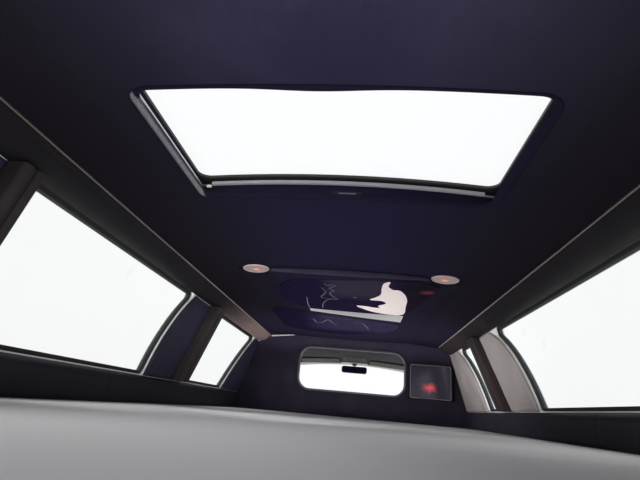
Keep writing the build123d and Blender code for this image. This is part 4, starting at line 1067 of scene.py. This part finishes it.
SPOTS = ((0.022, 0.008), (0.023, 0.604), (0.093, 0.804))
curl = inlaid_line(((-0.193, 0.057), (-0.203, 0.192), (-0.201, 0.288)), 0.0050)
spots = [shell for x, y in SPOTS for shell in inlaid_line(((x - 0.006, y), (x + 0.006, y)), 0.010)]
piece("moulding_curl", "bright_metal", curl + spots)


# Reading lamps

def turned(profile):
    """A profile of radius and height turned round the lamp's axis, which leans with the headliner."""
    lean = np.arcsin(LAMP_X / LINER_RADIUS)
    angle = full_turn(72)[None, :]
    radius, height = np.asarray(profile, float).T[..., None]
    u, v = radius * np.cos(angle), radius * np.sin(angle)
    x = LAMP_X + u * np.cos(lean) + height * np.sin(lean)
    z = float(liner(LAMP_X, -GAP)) - u * np.sin(lean) + height * np.cos(lean)
    return stack(x, LAMP_Y + v, z)


BEZEL = (
    (0.0411, 0), (0.0499, 0), (0.0499, -0.0008), (0.0495, -0.0016), (0.0484, -0.0025), (0.0466, -0.0032),
    (0.0448, -0.0036), (0.0436, -0.0037), (0.0428, -0.0034), (0.0424, -0.0030), (0.0422, -0.0027),
    (0.0416, -0.0025), (0.0411, -0.0024),
)
pair("lamp_bezel", "lamp_ring", [(turned(BEZEL), True, True)], stands_for="lamp_ring")

lens_steps = np.linspace(LENS_RADIUS, 0, 46)
lens_bulge = 0.0010 * (1 - (lens_steps / LENS_RADIUS) ** 2) + 0.0002 * np.sin(lens_steps * 1900) ** 2
lens_face = np.stack((lens_steps, -0.0022 - lens_bulge), -1)
lens_profile = np.concatenate((((0, -0.0005), (LENS_RADIUS, -0.0005)), lens_face))
pair("lamp_glass", "lamp_lens", [(turned(lens_profile), False, True)], stands_for="lamp_lens")


# Step of the lowered ceiling panel: a soft band from lamp to lamp

def step_band():
    """A lens-shaped pad on the panel's rear face, between the headliner and the panel's lower
    edge. It stands out by the square root of how far a point is inside both edges."""
    x, up = np.meshgrid(np.linspace(-STEP_HALF, STEP_HALF, 90), crowded(16), indexing="ij")
    low, high = panel(x, -0.0006), liner(x, -0.0008)
    z = low + (high - low) * up
    ends = roll(STEP_HALF - np.abs(x), 0.02)
    depth = 0.0042 * np.sqrt(np.clip(4 * up * (1 - up), 0, 1)) * ends
    return slab(stack(x, PANEL_REAR - GAP - depth, z), stack(x, PANEL_REAR - GAP, z))


# painted light: the band's cloth is paler than the headliner, where light from behind falls on the step
STEP_SUEDE_PAINTED_LIGHT = suede("painted_light_step_suede", (0.020, 0.0165, 0.027), (0.030, 0.025, 0.039))
piece("panel_step_band", "suede", step_band(), material=STEP_SUEDE_PAINTED_LIGHT)


# Driver's end: visors, console, interior mirror

def visor_frame():
    """Middle of the right visor's rod, and its directions along the rod, rearwards and square to both."""
    lean = np.arcsin((VISOR_AT[1] - BEND_START) / BEND_RADIUS)
    slope = np.arcsin(VISOR_AT[0] / LINER_RADIUS)
    up = np.array((0, np.sin(lean), np.cos(lean)))
    rearward = np.array((0, -np.cos(lean), np.sin(lean)))
    base = np.array((VISOR_AT[0], BEND_START, BEND_CENTRE)) - BEND_CENTRE * up
    middle = base + up * float(liner(VISOR_AT[0], -0.018))
    rod = np.array((1, 0, 0)) * np.cos(slope) - up * np.sin(slope)
    return middle, rod, rearward, np.cross(rod, rearward)


def visor_pad():
    """A flat cushion: both faces rise as quarter rounds from a round-cornered outline, with a
    sewn channel near the edge. It is thickest along the rod."""
    middle, rod, rearward, out = visor_frame()
    along, down = np.meshgrid(crowded(60) * 2 - 1, crowded(48), indexing="ij")
    u = along * VISOR_HALF
    v = -VISOR_EDGE + down * (VISOR_REACH + VISOR_EDGE)
    over_u = np.clip(np.abs(u) - (VISOR_HALF - VISOR_CORNER), 0, None)
    over_v = np.clip(v - (VISOR_REACH - VISOR_CORNER), 0, None)
    past = np.hypot(over_u, over_v)
    inside = np.minimum(VISOR_HALF - np.abs(u), VISOR_REACH - v)
    inside = np.where((over_u > 0) & (over_v > 0), VISOR_CORNER - past, inside)
    shrink = np.where(inside < 0, 1 + inside / np.maximum(past, 1e-9), 1)
    u = np.sign(u) * (np.abs(u) - over_u + over_u * shrink)
    v = v - over_v + over_v * shrink
    edge = np.clip(np.minimum(inside, v + VISOR_EDGE), 0, None)
    half = 0.0045 * roll(edge, 0.006) + 0.0018 * (1 - np.exp(-edge / 0.03)) - 0.0009 * dent(edge, 0.011, 0.002)
    round_rod = np.where(v < VISOR_EDGE, np.sqrt(np.clip(VISOR_EDGE**2 - v**2, 0, None)), 0)
    half = np.maximum(half, round_rod * roll(VISOR_HALF - np.abs(u), 0.004))
    sheet = middle + u[..., None] * rod + v[..., None] * rearward
    return slab(sheet + half[..., None] * out, sheet - half[..., None] * out)


for end in ("right", "left"):
    one_side("visor_pad", "visor_cloth", visor_pad(), end, padding=0.6, stands_for="visor", body=f"visor_{end}")


def mirror_glass():
    """A thin plate on the interior mirror's rear face: its outline, smaller, at four distances."""
    outline = round_corners(rectangle(0.113, 0.0265), 0.0166, 10, 0.012)
    share = np.array((0, 1, 1, 0))[:, None]
    depth = np.array((-0.0016, -0.0016, -0.0002, -0.0002))[:, None]
    x, z = outline.T[:, None] * share
    return [(stack(x, MIRROR_AT[0] + depth, MIRROR_AT[1] + z), False, True)]


piece("interior_mirror_glass", "smoked_mirror", mirror_glass())


def console_tray():
    """Rings of a rounded outline, from the middle of the console's lower face out to its rim and up
    to the headliner, with a groove round the lid in its middle."""
    angle = full_turn(96)[None, :]
    rows = (
        # share of the outline, drop below the headliner
        (0, 0.0205), (0.30, 0.0205), (0.50, 0.0203), (0.515, 0.0185), (0.53, 0.0185), (0.545, 0.0203),
        (0.70, 0.0200), (0.84, 0.0190), (0.92, 0.0170), (0.96, 0.0140), (0.985, 0.0090), (1.0, 0.0010),
        (0, 0.0010),
    )
    share, drop = np.array(rows).T[..., None]
    x = CONSOLE_HALF * squared(np.cos(angle), 0.28) * share
    y = CONSOLE_Y + CONSOLE_HALF * squared(np.sin(angle), 0.28) * share
    return [(bend(stack(x, y, liner(x, -GAP) - drop)), False, True)]


piece("console_tray", "console_plastic", console_tray(), stands_for=["overhead_console"])


# Black beads round the side windows, on the outside

def side_window(rear, front, bow, inset):
    """Outline of a side window, inset from its hole, clockwise from its front top corner. Its front
    edge is an arc, its other edges are straight, and each corner is an arc that touches both of its
    edges, so its centre lies a corner radius from each."""
    low, high = SILL + 0.003, SIDE_TOP + 0.008
    centre, radius = arc_through(front, bow, low, high)
    corner = 0.022 - inset
    head, foot = high - inset - corner, low + inset + corner
    lean = (rear[0] - rear[1]) / (high - low)
    square = np.arctan2(lean, -1) - 2 * np.pi
    turns = []
    for z in (head, foot):
        y = centre[0] - np.sqrt((radius + inset + corner) ** 2 - (z - centre[1]) ** 2)
        turns.append((np.array((y, z)), np.arctan2(centre[1] - z, centre[0] - y)))
    for z in (foot, head):
        y = rear[1] + lean * (z - low) + (inset + corner) * np.hypot(1, lean)
        turns.append((np.array((y, z)), square))
    (top, top_angle), (bottom, bottom_angle), (back_low, _), (back_high, _) = turns
    arcs = (
        # middle, radius, first and last angle, points
        (top, corner, np.pi / 2, top_angle, 12),
        (centre, radius + inset, top_angle + np.pi, bottom_angle + np.pi, 40),
        (bottom, corner, bottom_angle, -np.pi / 2, 10),
        (back_low, corner, -np.pi / 2, square, 10),
        (back_high, corner, square, -1.5 * np.pi, 10),
    )
    rows = [middle + size * circle(np.linspace(*ends)) for middle, size, *ends in arcs]
    rows[1] = rows[1][1:-1]
    return np.concatenate(rows)


def window_bead(rear, front, bow):
    """A half-round bead carried round a window, just inside its hole near the outer face."""
    section = ring(12, 0.0032, 0.0030)
    y, z = moved_out(side_window(rear, front, bow, 0.0045), section[None, :, 0])
    return [(stack(side(z) + 0.0275 + section[None, :, 1], y, z), True, True)]


for end, mid_post, mid_pad, mid_bow, wing, wing_bow in SIDES:
    behind = [y + REAR_POST_WIDTH + POST_TO_WINDOW for y in REAR_POST]
    before = [y + MID_POST_WIDTH + POST_TO_WINDOW for y in mid_post]
    beads = window_bead(behind, mid_pad, mid_bow) + window_bead(before, wing, wing_bow)
    one_side("window_bead", "seal_rubber", beads, end)


# Camera, at the photograph's viewing angle

CAMERA_AT = (0.064, -1.90, 0.04)
CAMERA_PITCH = radians(20.37)
CAMERA_YAW = radians(6.43)
CAMERA_ROLL = radians(5.26)
FOCAL_PIXELS = 451.9
FRAME_PIXELS = 640
SENSOR = 36.0

camera = bpy.data.objects.new("camera", bpy.data.cameras.new("camera"))
bpy.context.scene.collection.objects.link(camera)
camera.matrix_world = (
    Matrix.Translation(CAMERA_AT)
    @ Matrix.Rotation(CAMERA_YAW, 4, "Z")
    @ Matrix.Rotation(np.pi / 2 + CAMERA_PITCH, 4, "X")
    @ Matrix.Rotation(CAMERA_ROLL, 4, "Z")
)
camera.data.sensor_width = SENSOR
camera.data.lens = SENSOR * FOCAL_PIXELS / FRAME_PIXELS
camera.data.clip_start = 0.01
bpy.context.scene.camera = camera


# Floor

FLOOR_HALF = 60.0
floor_mesh = bpy.data.meshes.new("floor")
floor_corners = [(*corner, 0) for corner in rectangle(FLOOR_HALF, FLOOR_HALF).tolist()]
floor_mesh.from_pydata(floor_corners, [], [(0, 1, 2, 3)])
floor = bpy.data.objects.new("floor", floor_mesh)
bpy.context.scene.collection.objects.link(floor)
floor_finish = Finish("floor", Roughness=0.9)
floor_finish.set("Base_Color", (0.8, 0.8, 0.8))
floor_mesh.materials.append(floor_finish.material)


# World: a plain white background to camera, mirror and glass, and soft light on the object

world = bpy.data.worlds.new("world")
bpy.context.scene.world = world
world.use_nodes = True
tree = world.node_tree
tree.nodes.clear()


def world_node(kind, inputs, operation=None):
    """Adds a node to the world, links or sets its sockets in order, and returns its first output."""
    node = tree.nodes.new(kind)
    if operation:
        node.operation = operation
    for socket, value in zip(node.inputs, inputs):
        if isinstance(value, bpy.types.NodeSocket):
            tree.links.new(value, socket)
        else:
            socket.default_value = value
    return node.outputs[0] if node.outputs else None


WHITE = (1, 1, 1, 1)
rays = tree.nodes.new("ShaderNodeLightPath").outputs
seen = world_node("ShaderNodeMath", (rays["Is Camera Ray"], rays["Is Glossy Ray"]), "MAXIMUM")
seen = world_node("ShaderNodeMath", (seen, rays["Is Transmission Ray"]), "MAXIMUM")
light = world_node("ShaderNodeBackground", (WHITE, 0.6))
view = world_node("ShaderNodeBackground", (WHITE, 1.0))
world_node("ShaderNodeOutputWorld", (world_node("ShaderNodeMixShader", (seen, light, view)),))


# Lamps

def soft_lamp(name, place, aim, size, power, height=None, spread=180):
    """A softbox at a place, turned to its aim, whose light spreads by that many degrees. The camera
    doesn't see it."""
    lamp = bpy.data.objects.new(name, bpy.data.lights.new(name, "AREA"))
    lamp.data.shape = "RECTANGLE"
    lamp.data.size = size
    lamp.data.size_y = height or size
    lamp.data.energy = power
    lamp.data.spread = radians(spread)
    lamp.visible_camera = False
    lamp.visible_glossy = False
    bpy.context.scene.collection.objects.link(lamp)
    lamp.location = place
    lamp.rotation_mode = "QUATERNION"
    lamp.rotation_quaternion = (Vector(aim) - Vector(place)).to_track_quat("-Z", "Y")


soft_lamp("key", (-3.5, -3.0, 3.5), (0, -0.5, 0.3), 3.0, 110)
soft_lamp("fill", (4.0, 0.5, 2.5), (0, 0.3, 0.3), 3.0, 45)
soft_lamp("cabin_fill", (-0.10, -2.30, 0.12), (-0.36, 1.29, 0.32), 0.5, 2.2, 0.12, 34)
soft_lamp("side_fill", (-0.55, -0.75, 0.09), (0.68, 0.78, 0.24), 0.6, 2.6, 0.08, 42)
soft_lamp("ceiling_fill", (0.0, -0.30, 0.02), (0.0, -0.29, 1.0), 0.9, 10.5, 3.0)
soft_lamp("rear_fill", (0.0, -1.80, 0.02), (0.0, -1.79, 1.0), 0.9, 2.4, 0.6)
soft_lamp("front_fill", (0.0, 0.90, 0.02), (0.0, 0.91, 1.0), 0.9, 2.0, 0.6)

bpy.context.scene.view_settings.view_transform = "Standard"
